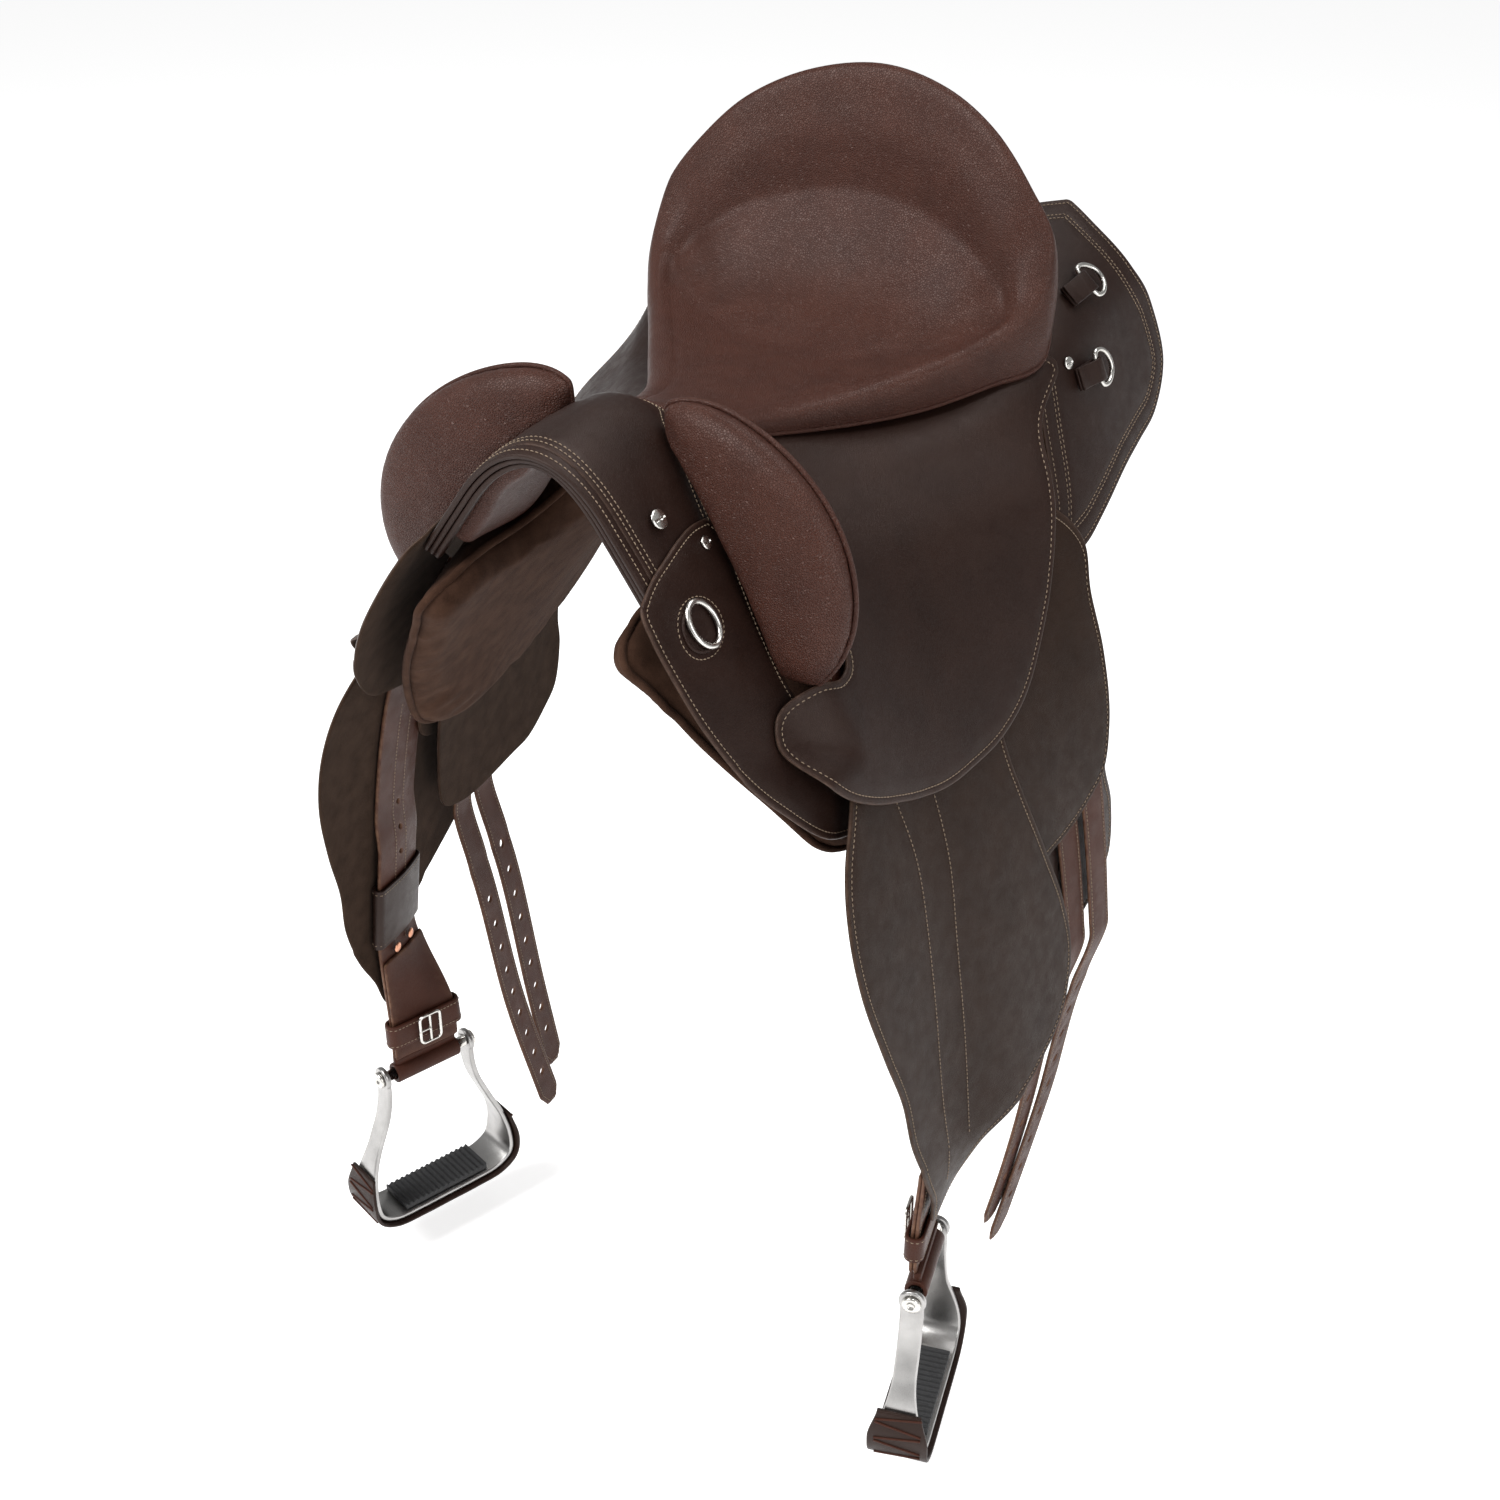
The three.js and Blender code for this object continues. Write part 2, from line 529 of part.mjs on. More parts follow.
/** A folded leather tab whose loop holds the straight side of a dee. */
function chapeGeometry(y, z) {
  const r = DEE.lift - LEATHER - 0.7;
  const loop = new THREE.Shape();
  loop.moveTo(-24, -r);
  loop.lineTo(0, -r);
  loop.absarc(0, 0, r, -Math.PI / 2, Math.PI / 2, false);
  loop.lineTo(-5, r);
  loop.lineTo(-24, 3.4 - r);
  loop.closePath();
  loop.holes.push(new THREE.Path().absarc(0, 0, DEE.tube + 0.6, 0, 2 * Math.PI, true));
  const width = 18;
  const options = { depth: width, bevelEnabled: false, curveSegments: 7 };
  const tab = new THREE.ExtrudeGeometry(loop, options).translate(0, 0, -width / 2);
  const { point, out, back } = frameAt(y, z, DEE.lift);
  const axis = new THREE.Vector3().crossVectors(back, out);
  return bend(seatAt(tab, point, back, axis), (p) => p);
}

const BREAST_RING = { y: -220, z: 2, halfWide: 12, halfLong: 16, tube: 2.2, lift: 10 };

function breastRingGeometry() {
  const { y, z, halfWide, halfLong, tube, lift } = BREAST_RING;
  const { point, out, down } = frameAt(y, z, lift);
  return bend(seatAt(loopBar(ringPath(halfWide, halfLong), tube, 16, 5), point, down, out),
    (p) => p);
}

/** The hobble buckle: a rectangular frame with its middle bar, on the strap's inner face. */
const BUCKLE = { z: -528, wide: 24, tall: 32, rim: 3.4, thick: 2.4, off: 1.2 };

function buckleGeometry() {
  const { z, wide, tall, rim, thick, off } = BUCKLE;
  const hole = (wide - 3 * rim) / 2;
  const plate = new THREE.BoxGeometry(wide, tall, thick);
  const window = () => new THREE.BoxGeometry(hole, tall - 2 * rim, thick + 2);
  const shift = (hole + rim) / 2;
  const frame = cut(cut(plate, window().translate(-shift, 0, 0)), window().translate(shift, 0, 0));
  return seatAt(frame, hanging(STRAP.y, sAt(STRAP.y, z), off), bolt.axis, bolt.across);
}

const JOCKEY_SCREW = [-182, -88];
const DEES = { upper: [262, 107], lower: [230, 54] };

function addSide(side) {
  turnBolt(TOE_OUT_DEG[side]);
  const put = (name, geometry, finish) => {
    if (side === 'right') geometry.scale(-1, 1, 1);
    return add(`${name}_${side}`, outward(geometry), finish);
  };
  put('panel', panelGeometry(), 'suede');
  put('rear_skirt', rearSkirtGeometry(), 'dark');
  put('front_skirt', layer(FRONT_SKIRT, LEVEL.leaf, LEATHER, [5, 8]), 'dark');
  put('under_flap', layer(UNDER_FLAP, LEVEL.skirt, LEATHER, [6, 12]), 'dark');
  put('mid_flap', layer(MID_FLAP, LEVEL.midFlap, LEATHER, [6, 12]), 'dark');
  put('fender', layer(FENDER, LEVEL.fender, LEATHER, [6, 18], hanging), 'dark');
  put('jockey', jockeyGeometry(), 'dark');
  put('knee_pad', kneePadGeometry(), 'seat');
  put('stirrup_leather', stirrupLeatherGeometry(), 'strap');
  put('leather_sleeve', strapLoop(-372, -434, 1.4, 2.4, 6), 'dark');
  put('hobble_strap', strapLoop(-516, -540, 1.6, 3, 3), 'strap');
  put('hobble_buckle', buckleGeometry(), 'nickel');
  put('stirrup_iron', stirrupIronGeometry(), 'alloy');
  put('stirrup_bolt', boltGeometry(), 'nickel');
  put('tread_pad', treadPadGeometry(), 'rubber');
  put('tread_cover', bentBar(BOW.slice(5, -5), () => 50, 3.4, 3, 24), 'dark');
  put('billet_front', billetGeometry(BILLET_LINE[side].front, LEVEL.frontBillet), 'strap');
  put('billet_rear', billetGeometry(BILLET_LINE[side].rear, LEVEL.rearBillet), 'strap');
  put('breast_ring', breastRingGeometry(), 'nickel');
  for (const [level, [y, z]] of Object.entries(DEES)) {
    put(`dee_${level}`, deeGeometry(y, z), 'nickel');
    put(`dee_chape_${level}`, chapeGeometry(y, z), 'dark');
  }
  put('pommel_screw', screwGeometry(-206, 62, 7.2, 7), 'nickel');
  put('jockey_screw', screwGeometry(...JOCKEY_SCREW, 11.2, 8), 'nickel');
  put('leaf_screw', screwGeometry(-178, 38, 8.1, 5), 'nickel');
  put('seat_screw', screwGeometry(204, 66, 4, 5), 'nickel');
}

addCentre();
addSide('left');
addSide('right');

export default saddle;
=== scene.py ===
"""The visual model of an Australian stock saddle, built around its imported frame.

Lengths are millimetres in the shaping code and metres in Blender. The saddle's flank is one
smooth surface; y runs along it, s runs down from the ridge, and w is the length of that way.
"""
import math

import bpy
import numpy as np
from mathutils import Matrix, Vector, geometry


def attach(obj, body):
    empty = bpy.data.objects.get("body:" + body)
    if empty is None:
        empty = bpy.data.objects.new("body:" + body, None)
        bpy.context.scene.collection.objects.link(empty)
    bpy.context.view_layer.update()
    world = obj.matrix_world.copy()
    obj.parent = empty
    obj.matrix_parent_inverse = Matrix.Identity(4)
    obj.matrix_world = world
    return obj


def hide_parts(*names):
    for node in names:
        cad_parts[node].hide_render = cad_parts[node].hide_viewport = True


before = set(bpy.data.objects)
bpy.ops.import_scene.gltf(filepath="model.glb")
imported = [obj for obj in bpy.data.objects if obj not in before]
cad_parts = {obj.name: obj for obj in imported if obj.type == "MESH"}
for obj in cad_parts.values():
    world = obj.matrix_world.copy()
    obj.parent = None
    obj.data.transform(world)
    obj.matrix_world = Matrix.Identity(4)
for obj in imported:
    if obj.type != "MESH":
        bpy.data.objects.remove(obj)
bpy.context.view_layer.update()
MM = 0.001
UP = np.array([0.0, 0.0, 1.0])
SIDES = {"left": 1, "right": -1}

# ---- camera, lights and floor ----
FLOOR_Z = -0.765


def add_camera():
    data = bpy.data.cameras.new("camera")
    data.lens = 50
    data.sensor_width = 36
    camera = bpy.data.objects.new("camera", data)
    camera.location = (0.765, -1.250, 0.620)
    camera.rotation_euler = (math.radians(59.8), 0, math.radians(30.81))
    bpy.context.scene.collection.objects.link(camera)
    bpy.context.scene.camera = camera


def add_light(name, place, aim, size, watts, colour=(1, 1, 1)):
    data = bpy.data.lights.new(name, "AREA")
    data.shape = "RECTANGLE"
    data.size, data.size_y = size
    data.energy = watts
    data.color = colour
    light = bpy.data.objects.new(name, data)
    light.location = place
    light.rotation_euler = (Vector(aim) - Vector(place)).to_track_quat("-Z", "Y").to_euler()
    bpy.context.scene.collection.objects.link(light)


def add_stage():
    mesh = bpy.data.meshes.new("floor")
    far = 60.0
    mesh.from_pydata([(-far, -far, FLOOR_Z), (far, -far, FLOOR_Z), (far, far, FLOOR_Z),
                      (-far, far, FLOOR_Z)], [], [(0, 1, 2, 3)])
    floor = bpy.data.objects.new("floor", mesh)
    bpy.context.scene.collection.objects.link(floor)
    material = bpy.data.materials.new("floor_paint")
    material.use_nodes = True
    shader = material.node_tree.nodes["Principled BSDF"]
    shader.inputs["Base Color"].default_value = (0.93, 0.93, 0.93, 1)
    shader.inputs["Roughness"].default_value = 1.0
    shader.inputs["Specular IOR Level"].default_value = 0.0
    shader.inputs["Emission Color"].default_value = (1, 1, 1, 1)
    shader.inputs["Emission Strength"].default_value = 0.6
    mesh.materials.append(material)
    world = bpy.data.worlds.new("studio")
    world.use_nodes = True
    world.node_tree.nodes["Background"].inputs["Color"].default_value = (1, 1, 1, 1)
    world.node_tree.nodes["Background"].inputs["Strength"].default_value = 0.32
    bpy.context.scene.world = world
    bpy.context.scene.view_settings.view_transform = "Standard"
    add_light("key", (-1.3, -1.9, 2.1), (0, 0, -0.1), (1.6, 1.6), 105)
    add_light("fill", (2.4, -1.2, 0.9), (0.1, 0, -0.2), (1.4, 2.0), 30)
    add_light("top", (0.3, 0.6, 2.4), (0, 0.1, 0), (1.8, 1.2), 38)


# ---- the saddle's surface ----
LEATHER = 3.2
LEVEL = {"leaf": 4.3, "front": 4.5, "rear": 8.9, "mid": 12.8, "strap": 17.4, "fender": 22.4,
         "lobe": 8.0, "jockey": 30.0}
STRAP = {"y": -118.0, "x": 254.0, "half": 33.0, "thick": 3.4, "top": -56.0, "bottom": -556.0}
BOLT = np.array([253.0, -118.5, -573.0])
TOE_OUT = {"left": math.radians(14), "right": math.radians(19)}
HALF_WIDTH = [(-250, 56), (-200, 62), (-120, 58), (-60, 46), (-16, 56), (40, 84), (87, 114),
              (130, 146), (168, 168), (220, 184), (300, 194), (350, 200)]
FLARE = [(-250, .748), (-200, .748), (-120, .79), (-60, .91), (-16, .9), (40, .81), (87, .7),
         (130, .58), (168, .49), (220, .42), (300, .38), (350, .36)]
RIDGE_Z = [(-250, 104), (-227, 112), (-150, 117), (-110, 98), (-60, 72), (0, 58), (70, 54),
           (130, 66), (200, 110), (250, 142), (340, 172)]
SHOULDER_Z = [(-250, 70), (-120, 58), (-60, 36), (0, 24), (70, 24), (130, 40), (200, 66),
              (340, 90)]


def along(stations, at):
    """Smooth curve through [position, value] stations, held flat past its ends."""
    xs, ys = np.array(stations, float).T
    last = len(xs) - 1
    t = np.clip(at, xs[0], xs[-1])
    i = np.clip(np.searchsorted(xs, t, side="left") - 1, 0, last - 1)
    k = np.arange(last + 1)
    low, high = np.maximum(k - 1, 0), np.minimum(k + 1, last)
    slope = (ys[high] - ys[low]) / (xs[high] - xs[low])
    h = xs[i + 1] - xs[i]
    u = (t - xs[i]) / h
    ease = u * u * (3 - 2 * u)
    return (ys[i] + (ys[i + 1] - ys[i]) * ease
            + h * u * (1 - u) * (slope[i] * (1 - u) - slope[i + 1] * u))


def ramp(value, low, high):
    """0 below low, 1 above high, smooth between."""
    u = np.clip((value - low) / (high - low), 0, 1)
    return u * u * (3 - 2 * u)


def softplus(v, width):
    return width * np.logaddexp(0, np.asarray(v, float) / width)


def flank_x(y, z):
    low = np.maximum(z, -430)
    spread = 0.15 * (70 - low) + 0.85 * (softplus(200, 60) - softplus(low + 130, 60))
    return along(HALF_WIDTH, y) + along(FLARE, y) * spread


def profile(y, s):
    y, s = np.broadcast_arrays(np.asarray(y, float), np.asarray(s, float))
    ridge, shoulder = along(RIDGE_Z, y), along(SHOULDER_Z, y)
    side, sign = np.abs(s), np.where(s < 0, -1.0, 1.0)
    low_z = shoulder - 100 * (side - 1)
    x = flank_x(y, shoulder)
    lean = flank_x(y, shoulder - 0.5) - flank_x(y, shoulder + 0.5)
    corner = np.maximum(x - lean * (ridge - shoulder), 0.25 * x)
    bend = 2 * side * (1 - side) * corner + side * side * x
    top_z = ridge - (ridge - shoulder) * side * side
    low = side > 1
    return np.stack([sign * np.where(low, flank_x(y, low_z), bend), y,
                     np.where(low, low_z, top_z)], -1)


def s_at(y, z):
    ridge, shoulder = along(RIDGE_Z, y), along(SHOULDER_Z, y)
    above = np.sqrt(np.maximum(ridge - z, 0) / (ridge - shoulder))
    return np.where(z >= shoulder, above, 1 + (shoulder - z) / 100)


def surface(y, s, off):
    dy = profile(y + 0.5, s) - profile(y - 0.5, s)
    ds = profile(y, s + 0.01) - profile(y, s - 0.01)
    normal = np.cross(ds, dy)
    normal /= np.linalg.norm(normal, axis=-1, keepdims=True)
    return profile(y, s) + normal * np.asarray(off, float)[..., None]


Y_STEP, S_STEP, W_STEP = 5.0, 0.02, 4.0
Y_TABLE = np.arange(-320.0, 401.0, Y_STEP)
S_TABLE = np.arange(0.0, 9.0, S_STEP)
W_TABLE = np.arange(0.0, 1000.0, W_STEP)
_grid = profile(*np.meshgrid(Y_TABLE, S_TABLE, indexing="ij"))
_steps = np.linalg.norm(np.diff(_grid, axis=1), axis=2)
W_OF_S = np.concatenate([np.zeros((len(Y_TABLE), 1)), np.cumsum(_steps, axis=1)], axis=1)
S_OF_W = np.array([np.interp(W_TABLE, row, S_TABLE) for row in W_OF_S])


def look_up(table, step, y, v):
    """Value between a table's rows along y and columns along v, odd in v."""
    i = np.clip((y - Y_TABLE[0]) / Y_STEP, 0, table.shape[0] - 1.001)
    j = np.clip(np.abs(v) / step, 0, table.shape[1] - 1.001)
    a, b = i.astype(int), j.astype(int)
    u, w = i - a, j - b
    value = ((table[a, b] * (1 - w) + table[a, b + 1] * w) * (1 - u)
             + (table[a + 1, b] * (1 - w) + table[a + 1, b + 1] * w) * u)
    return value * np.where(v < 0, -1, 1)


def hanging(side):
    """Placing for the leathers that hang and turn outwards above the stirrup."""
    toe = TOE_OUT[side]
    axis = np.array([math.sin(toe), -math.cos(toe), 0])
    across = np.array([math.cos(toe), math.sin(toe), 0])

    def place(y, s, off):
        flat = surface(y, s, off)
        turn = (1 - ramp(flat[..., 2], -530, -436))[..., None]
        hung = np.stack([np.full_like(y, STRAP["x"]), np.full_like(y, STRAP["y"]),
                         flat[..., 2]], -1)
        hung = hung - axis * (y - STRAP["y"])[..., None]
        hung = hung + across * (off - LEVEL["strap"])[..., None]
        return flat * (1 - turn) + hung * turn
    return place


CURL = [(-720, 58), (-600, 44), (-480, 31), (-425, 20), (-372, 1), (-350, 0)]


def curling(y, s, off):
    """Placing for the billets, whose free ends curl inwards."""
    point = surface(y, s, off)
    point[..., 0] -= along(CURL, point[..., 2])
    return point


# ---- curves and closed shapes ----
def spline(points, closed=False, corners=(), per=12):
    """Centripetal curve through points, straight into and out of its corners."""
    p = np.array(points, float)
    n = len(p)
    out = []
    for i in range(n if closed else n - 1):
        p1, p2 = p[i], p[(i + 1) % n]
        joins_before = (closed or i > 0) and i not in corners
        joins_after = (closed or i + 2 < n) and (i + 1) % n not in corners
        p0 = p[i - 1] if joins_before else 2 * p1 - p2
        p3 = p[(i + 2) % n] if joins_after else 2 * p2 - p1
        d0, d1, d2 = (max(np.linalg.norm(b - a) ** 0.5, 1e-4)
                      for a, b in ((p0, p1), (p1, p2), (p2, p3)))
        t1 = ((p1 - p0) / d0 - (p2 - p0) / (d0 + d1) + (p2 - p1) / d1) * d1
        t2 = ((p2 - p1) / d1 - (p3 - p1) / (d1 + d2) + (p3 - p2) / d2) * d1
        u = np.linspace(0, 1, per, endpoint=False)[:, None]
        out.append((2 * u ** 3 - 3 * u ** 2 + 1) * p1 + (u ** 3 - 2 * u ** 2 + u) * t1
                   + (3 * u ** 2 - 2 * u ** 3) * p2 + (u ** 3 - u ** 2) * t2)
    if not closed:
        out.append(p[-1:])
    return np.concatenate(out)


def evenly(points, step, closed=False, count=None):
    """Points at equal spacing along a polyline."""
    p = np.concatenate([points, points[:1]]) if closed else np.asarray(points)
    run = np.concatenate([[0], np.cumsum(np.linalg.norm(np.diff(p, axis=0), axis=1))])
    n = count or max(int(round(run[-1] / step)), 2)
    at = np.linspace(0, run[-1], n + (0 if closed and count else 1), endpoint=not closed or not count)
    if closed and not count:
        at = at[:-1]
    return np.stack([np.interp(at, run, p[:, k]) for k in range(p.shape[1])], 1)


def inside(points, loop):
    """Which points lie within a closed loop in the plane."""
    x, y = points[:, :1], points[:, 1:]
    ax, ay = loop[:, 0], loop[:, 1]
    bx, by = np.roll(ax, -1), np.roll(ay, -1)
    crosses = (ay > y) != (by > y)
    rise = np.where(by == ay, 1e-12, by - ay)
    return (crosses & (x < (bx - ax) * (y - ay) / rise + ax)).sum(1) % 2 == 1


def edge_distance(points, loops):
    best = np.full(len(points), 1e9)
    for loop in loops:
        a, d = loop, np.roll(loop, -1, 0) - loop
        size = np.maximum((d * d).sum(1), 1e-12)
        for k in range(0, len(points), 2000):
            rel = points[k:k + 2000, None] - a[None]
            t = np.clip((rel * d).sum(2) / size, 0, 1)
            gap = np.linalg.norm(rel - d * t[..., None], axis=2).min(1)
            best[k:k + 2000] = np.minimum(best[k:k + 2000], gap)
    return best


def inward(loop):
    ahead = np.roll(loop, -1, 0) - np.roll(loop, 1, 0)
    normal = np.stack([-ahead[:, 1], ahead[:, 0]], 1)
    return normal / np.maximum(np.linalg.norm(normal, axis=1, keepdims=True), 1e-9)


def turned_to(loop, anticlockwise):
    area = (loop[:, 0] * np.roll(loop[:, 1], -1) - np.roll(loop[:, 0], -1) * loop[:, 1]).sum()
    return loop if (area > 0) == anticlockwise else loop[::-1]


def fill(loops, rows, cell):
    """Triangles between closed loops, with rows of points at set distances from them."""
    points, edges, start = [], [], 0
    for loop in loops:
        points.append(loop)
        n = len(loop)
        edges += [(start + i, start + (i + 1) % n) for i in range(n)]
        start += n
    for d in rows:
        for loop in loops:
            moved = loop + inward(loop) * d
            keep = inside(moved, loops[0]) & (edge_distance(moved, loops) > d * 0.96)
            points.append(moved[keep])
    low, high = loops[0].min(0), loops[0].max(0)
    ys, ws = np.arange(low[0], high[0], cell), np.arange(low[1], high[1], cell * 0.87)
    grid = np.array([(y + (cell / 2 if k % 2 else 0), w) for k, w in enumerate(ws) for y in ys])
    keep = inside(grid, loops[0]) & (edge_distance(grid, loops) > rows[-1] + cell * 0.6)
    points.append(grid[keep])
    flat = np.concatenate(points)
    made = geometry.delaunay_2d_cdt([Vector(p) for p in flat.tolist()], edges, [], 1, 1e-4)
    flat, tris = np.array([v[:] for v in made[0]]), np.array(made[2])
    centre = flat[tris].mean(1)
    for hole in loops[1:]:
        tris = tris[~inside(centre, hole)]
        centre = flat[tris].mean(1)
    used = np.unique(tris)
    renumber = np.zeros(len(flat), int)
    renumber[used] = np.arange(len(used))
    return flat[used], renumber[tris], edge_distance(flat[used], loops)


class Piece:
    """One Blender object gathered from closed shapes."""

    def __init__(self, name, materials, mirror=False):
        self.name, self.materials, self.mirror = name, materials, mirror
        self.points, self.faces, self.index, self.edge, self.count = [], [], [], [], 0

    def add(self, points, faces, material=0, edge=None):
        points = np.asarray(points, float).reshape(-1, 3)
        if self.mirror:
            points = points * (-1, 1, 1)
        volume = sum(np.einsum("ij,ij->", points[f[:, 0]], np.cross(points[f[:, k]],
                                                                   points[f[:, k + 1]]))
                     for f in faces for k in range(1, f.shape[1] - 1))
        kinds = material if isinstance(material, tuple) else (material,) * len(faces)
        for f, kind in zip(faces, kinds):
            f = (f if volume > 0 else f[:, ::-1]) + self.count
            self.faces += f.tolist()
            self.index += [kind] * len(f)
        self.points.append(points)
        self.edge.append(np.zeros(len(points)) if edge is None else edge)
        self.count += len(points)

    def done(self, body, slot, *nodes):
        mesh = bpy.data.meshes.new(self.name)
        mesh.from_pydata((np.concatenate(self.points) * MM).tolist(), [], self.faces)
        mesh.polygons.foreach_set("material_index", self.index)
        mesh.polygons.foreach_set("use_smooth", [True] * len(self.faces))
        attribute = mesh.attributes.new("edge", "FLOAT", "POINT")
        attribute.data.foreach_set("value", np.concatenate(self.edge).astype(np.float32))
        for material in self.materials:
            mesh.materials.append(material)
        obj = bpy.data.objects.new(self.name, mesh)
        bpy.context.scene.collection.objects.link(obj)
        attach(obj, body)
        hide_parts(*nodes)
        return obj


def sweep(rings, closed=False):
    """Faces of a tube through rings of points, with capped ends unless it closes."""
    rings = np.asarray(rings)
    n, k = rings.shape[:2]
    i, j = np.meshgrid(np.arange(n if closed else n - 1), np.arange(k), indexing="ij")
    a, b = i * k + j, i * k + (j + 1) % k
    c, d = ((i + 1) % n) * k + (j + 1) % k, ((i + 1) % n) * k + j
    quads = np.stack([a, b, c, d], -1).reshape(-1, 4)
    points = rings.reshape(-1, 3)
    if closed:
        return points, [quads]
    ends = np.stack([rings[0].mean(0), rings[-1].mean(0)])
    j = np.arange(k)
    first = np.stack([np.full(k, n * k), (j + 1) % k, j], 1)
    last = np.stack([np.full(k, n * k + 1), (n - 1) * k + j, (n - 1) * k + (j + 1) % k], 1)
    return np.concatenate([points, ends]), [quads, np.concatenate([first, last])]


def rounded(width, height, radius, per=3):
    """A rectangle with rounded corners, as points round its centre."""
    out = []
    for k, (sx, sy) in enumerate(((1, 1), (-1, 1), (-1, -1), (1, -1))):
        for a in np.linspace(0, math.pi / 2, per) + k * math.pi / 2:
            out.append((sx * (width / 2 - radius) + radius * math.cos(a),
                        sy * (height / 2 - radius) + radius * math.sin(a)))
    return np.array(out)


# ---- materials ----
class Look:
    """A procedural material put together from shader nodes, sized in metres."""

    def __init__(self, name, rough, **values):
        self.material = bpy.data.materials.new(name)
        self.material.use_nodes = True
        self.tree = self.material.node_tree
        self.shader = self.tree.nodes["Principled BSDF"]
        self.shader.inputs["Roughness"].default_value = rough
        for key, value in values.items():
            self.shader.inputs[key.replace("_", " ")].default_value = value
        self.place = self.tree.nodes.new("ShaderNodeTexCoord").outputs["Object"]
        self.height = None

    def join(self, socket, value):
        if isinstance(value, bpy.types.NodeSocket):
            self.tree.links.new(value, socket)
        else:
            socket.default_value = value

    def noise(self, scale, detail=3.0, stretch=None):
        node = self.tree.nodes.new("ShaderNodeTexNoise")
        node.inputs["Scale"].default_value = scale
        node.inputs["Detail"].default_value = detail
        place = self.place
        if stretch:
            mapping = self.tree.nodes.new("ShaderNodeMapping")
            mapping.inputs["Scale"].default_value = stretch
            self.join(mapping.inputs["Vector"], place)
            place = mapping.outputs["Vector"]
        self.join(node.inputs["Vector"], place)
        return node.outputs["Fac"]

    def cells(self, scale):
        node = self.tree.nodes.new("ShaderNodeTexVoronoi")
        node.feature = "DISTANCE_TO_EDGE"
        node.inputs["Scale"].default_value = scale
        self.join(node.inputs["Vector"], self.place)
        return node.outputs["Distance"]

    def ramp(self, value, low, high, start=0.0, end=1.0):
        node = self.tree.nodes.new("ShaderNodeMapRange")
        self.join(node.inputs["Value"], value)
        for key, number in (("From Min", low), ("From Max", high), ("To Min", start),
                            ("To Max", end)):
            node.inputs[key].default_value = number
        return node.outputs["Result"]

    def mix(self, fac, a, b):
        node = self.tree.nodes.new("ShaderNodeMix")
        node.data_type = "RGBA"
        self.join(node.inputs["Factor"], fac)
        for socket, value in ((node.inputs[6], a), (node.inputs[7], b)):
            self.join(socket, (*value, 1) if isinstance(value, tuple) else value)
        return node.outputs[2]

    def times(self, a, b):
        node = self.tree.nodes.new("ShaderNodeMath")
        node.operation = "MULTIPLY"
        self.join(node.inputs[0], a)
        self.join(node.inputs[1], b)
        return node.outputs[0]

    def edge(self):
        node = self.tree.nodes.new("ShaderNodeAttribute")
        node.attribute_name = "edge"
        return node.outputs["Fac"]

    def bump(self, height, distance, strength=1.0):
        node = self.tree.nodes.new("ShaderNodeBump")
        node.inputs["Distance"].default_value = distance
        node.inputs["Strength"].default_value = strength
        self.join(node.inputs["Height"], height)
        if self.height is not None:
            self.join(node.inputs["Normal"], self.height)
        self.height = node.outputs["Normal"]
        self.join(self.shader.inputs["Normal"], self.height)

    def colour(self, value):
        self.join(self.shader.inputs["Base Color"], value)

    def roughness(self, value):
        self.join(self.shader.inputs["Roughness"], value)


def leather_look(name, dark, light, worn, rough, grain, depth, coat=0.0, gloss=0.3):
    look = Look(name, rough, Coat_Weight=coat, Coat_Roughness=0.35,
                Specular_IOR_Level=gloss, Specular_Tint=(1, 0.84, 0.77, 1))
    patches = look.ramp(look.noise(30, 5), 0.15, 0.9)
    colour = look.mix(patches, dark, light)
    creases = look.cells(grain)
    # painted shade: the colour darkens towards the cell edges, in the grain's creases
    colour = look.mix(look.ramp(creases, 0.0, 0.12, 0.35, 0.0), colour,
                      tuple(0.55 * c for c in dark))
    rub = look.times(look.edge(), look.ramp(look.noise(180, 3), 0.35, 0.7, 0.25, 1.0))
    look.colour(look.mix(rub, colour, worn))
    look.roughness(look.ramp(look.noise(90, 4), 0.3, 0.7, rough - 0.07, rough + 0.08))
    look.bump(look.noise(38, 3), 0.0012, 0.25)
    look.bump(look.ramp(creases, 0.0, 0.22), depth, 0.8)
    look.bump(look.noise(2600, 2), depth * 0.4, 0.5)
    return look.material


def suede_look(name, dark, light):
    look = Look(name, 0.95, Sheen_Weight=0.02, Sheen_Roughness=0.5, Specular_IOR_Level=0.04)
    nap = look.noise(70, 6)
    colour = look.mix(look.ramp(nap, 0.3, 0.7), dark, light)
    look.colour(look.mix(look.ramp(look.noise(1500, 2), 0.35, 0.65, 0.0, 0.35), colour,
                         tuple(1.5 * c for c in light)))
    look.bump(nap, 0.0015, 0.35)
    look.bump(look.noise(1900, 3), 0.0004, 0.9)
    return look.material


def metal_look(name, base, rough, brush=None, scratch=0.00006):
    look = Look(name, rough, Metallic=1.0)
    fine = look.noise(900, 3, brush) if brush else look.noise(260, 4)
    tone = tuple(0.8 * c for c in base)
    look.colour(look.mix(look.ramp(look.noise(60, 4), 0.35, 0.7), base, tone))
    look.roughness(look.ramp(fine, 0.3, 0.7, rough - 0.06, rough + 0.1))
    look.bump(fine, scratch, 0.6)
    return look.material


def plain_look(name, dark, light, rough, scale, depth, stretch=None):
    look = Look(name, rough)
    grain = look.noise(scale, 4, stretch)
    look.colour(look.mix(look.ramp(grain, 0.3, 0.7), dark, light))
    look.roughness(look.ramp(grain, 0.3, 0.7, rough - 0.08, rough + 0.06))
    look.bump(grain, depth, 0.7)
    return look.material


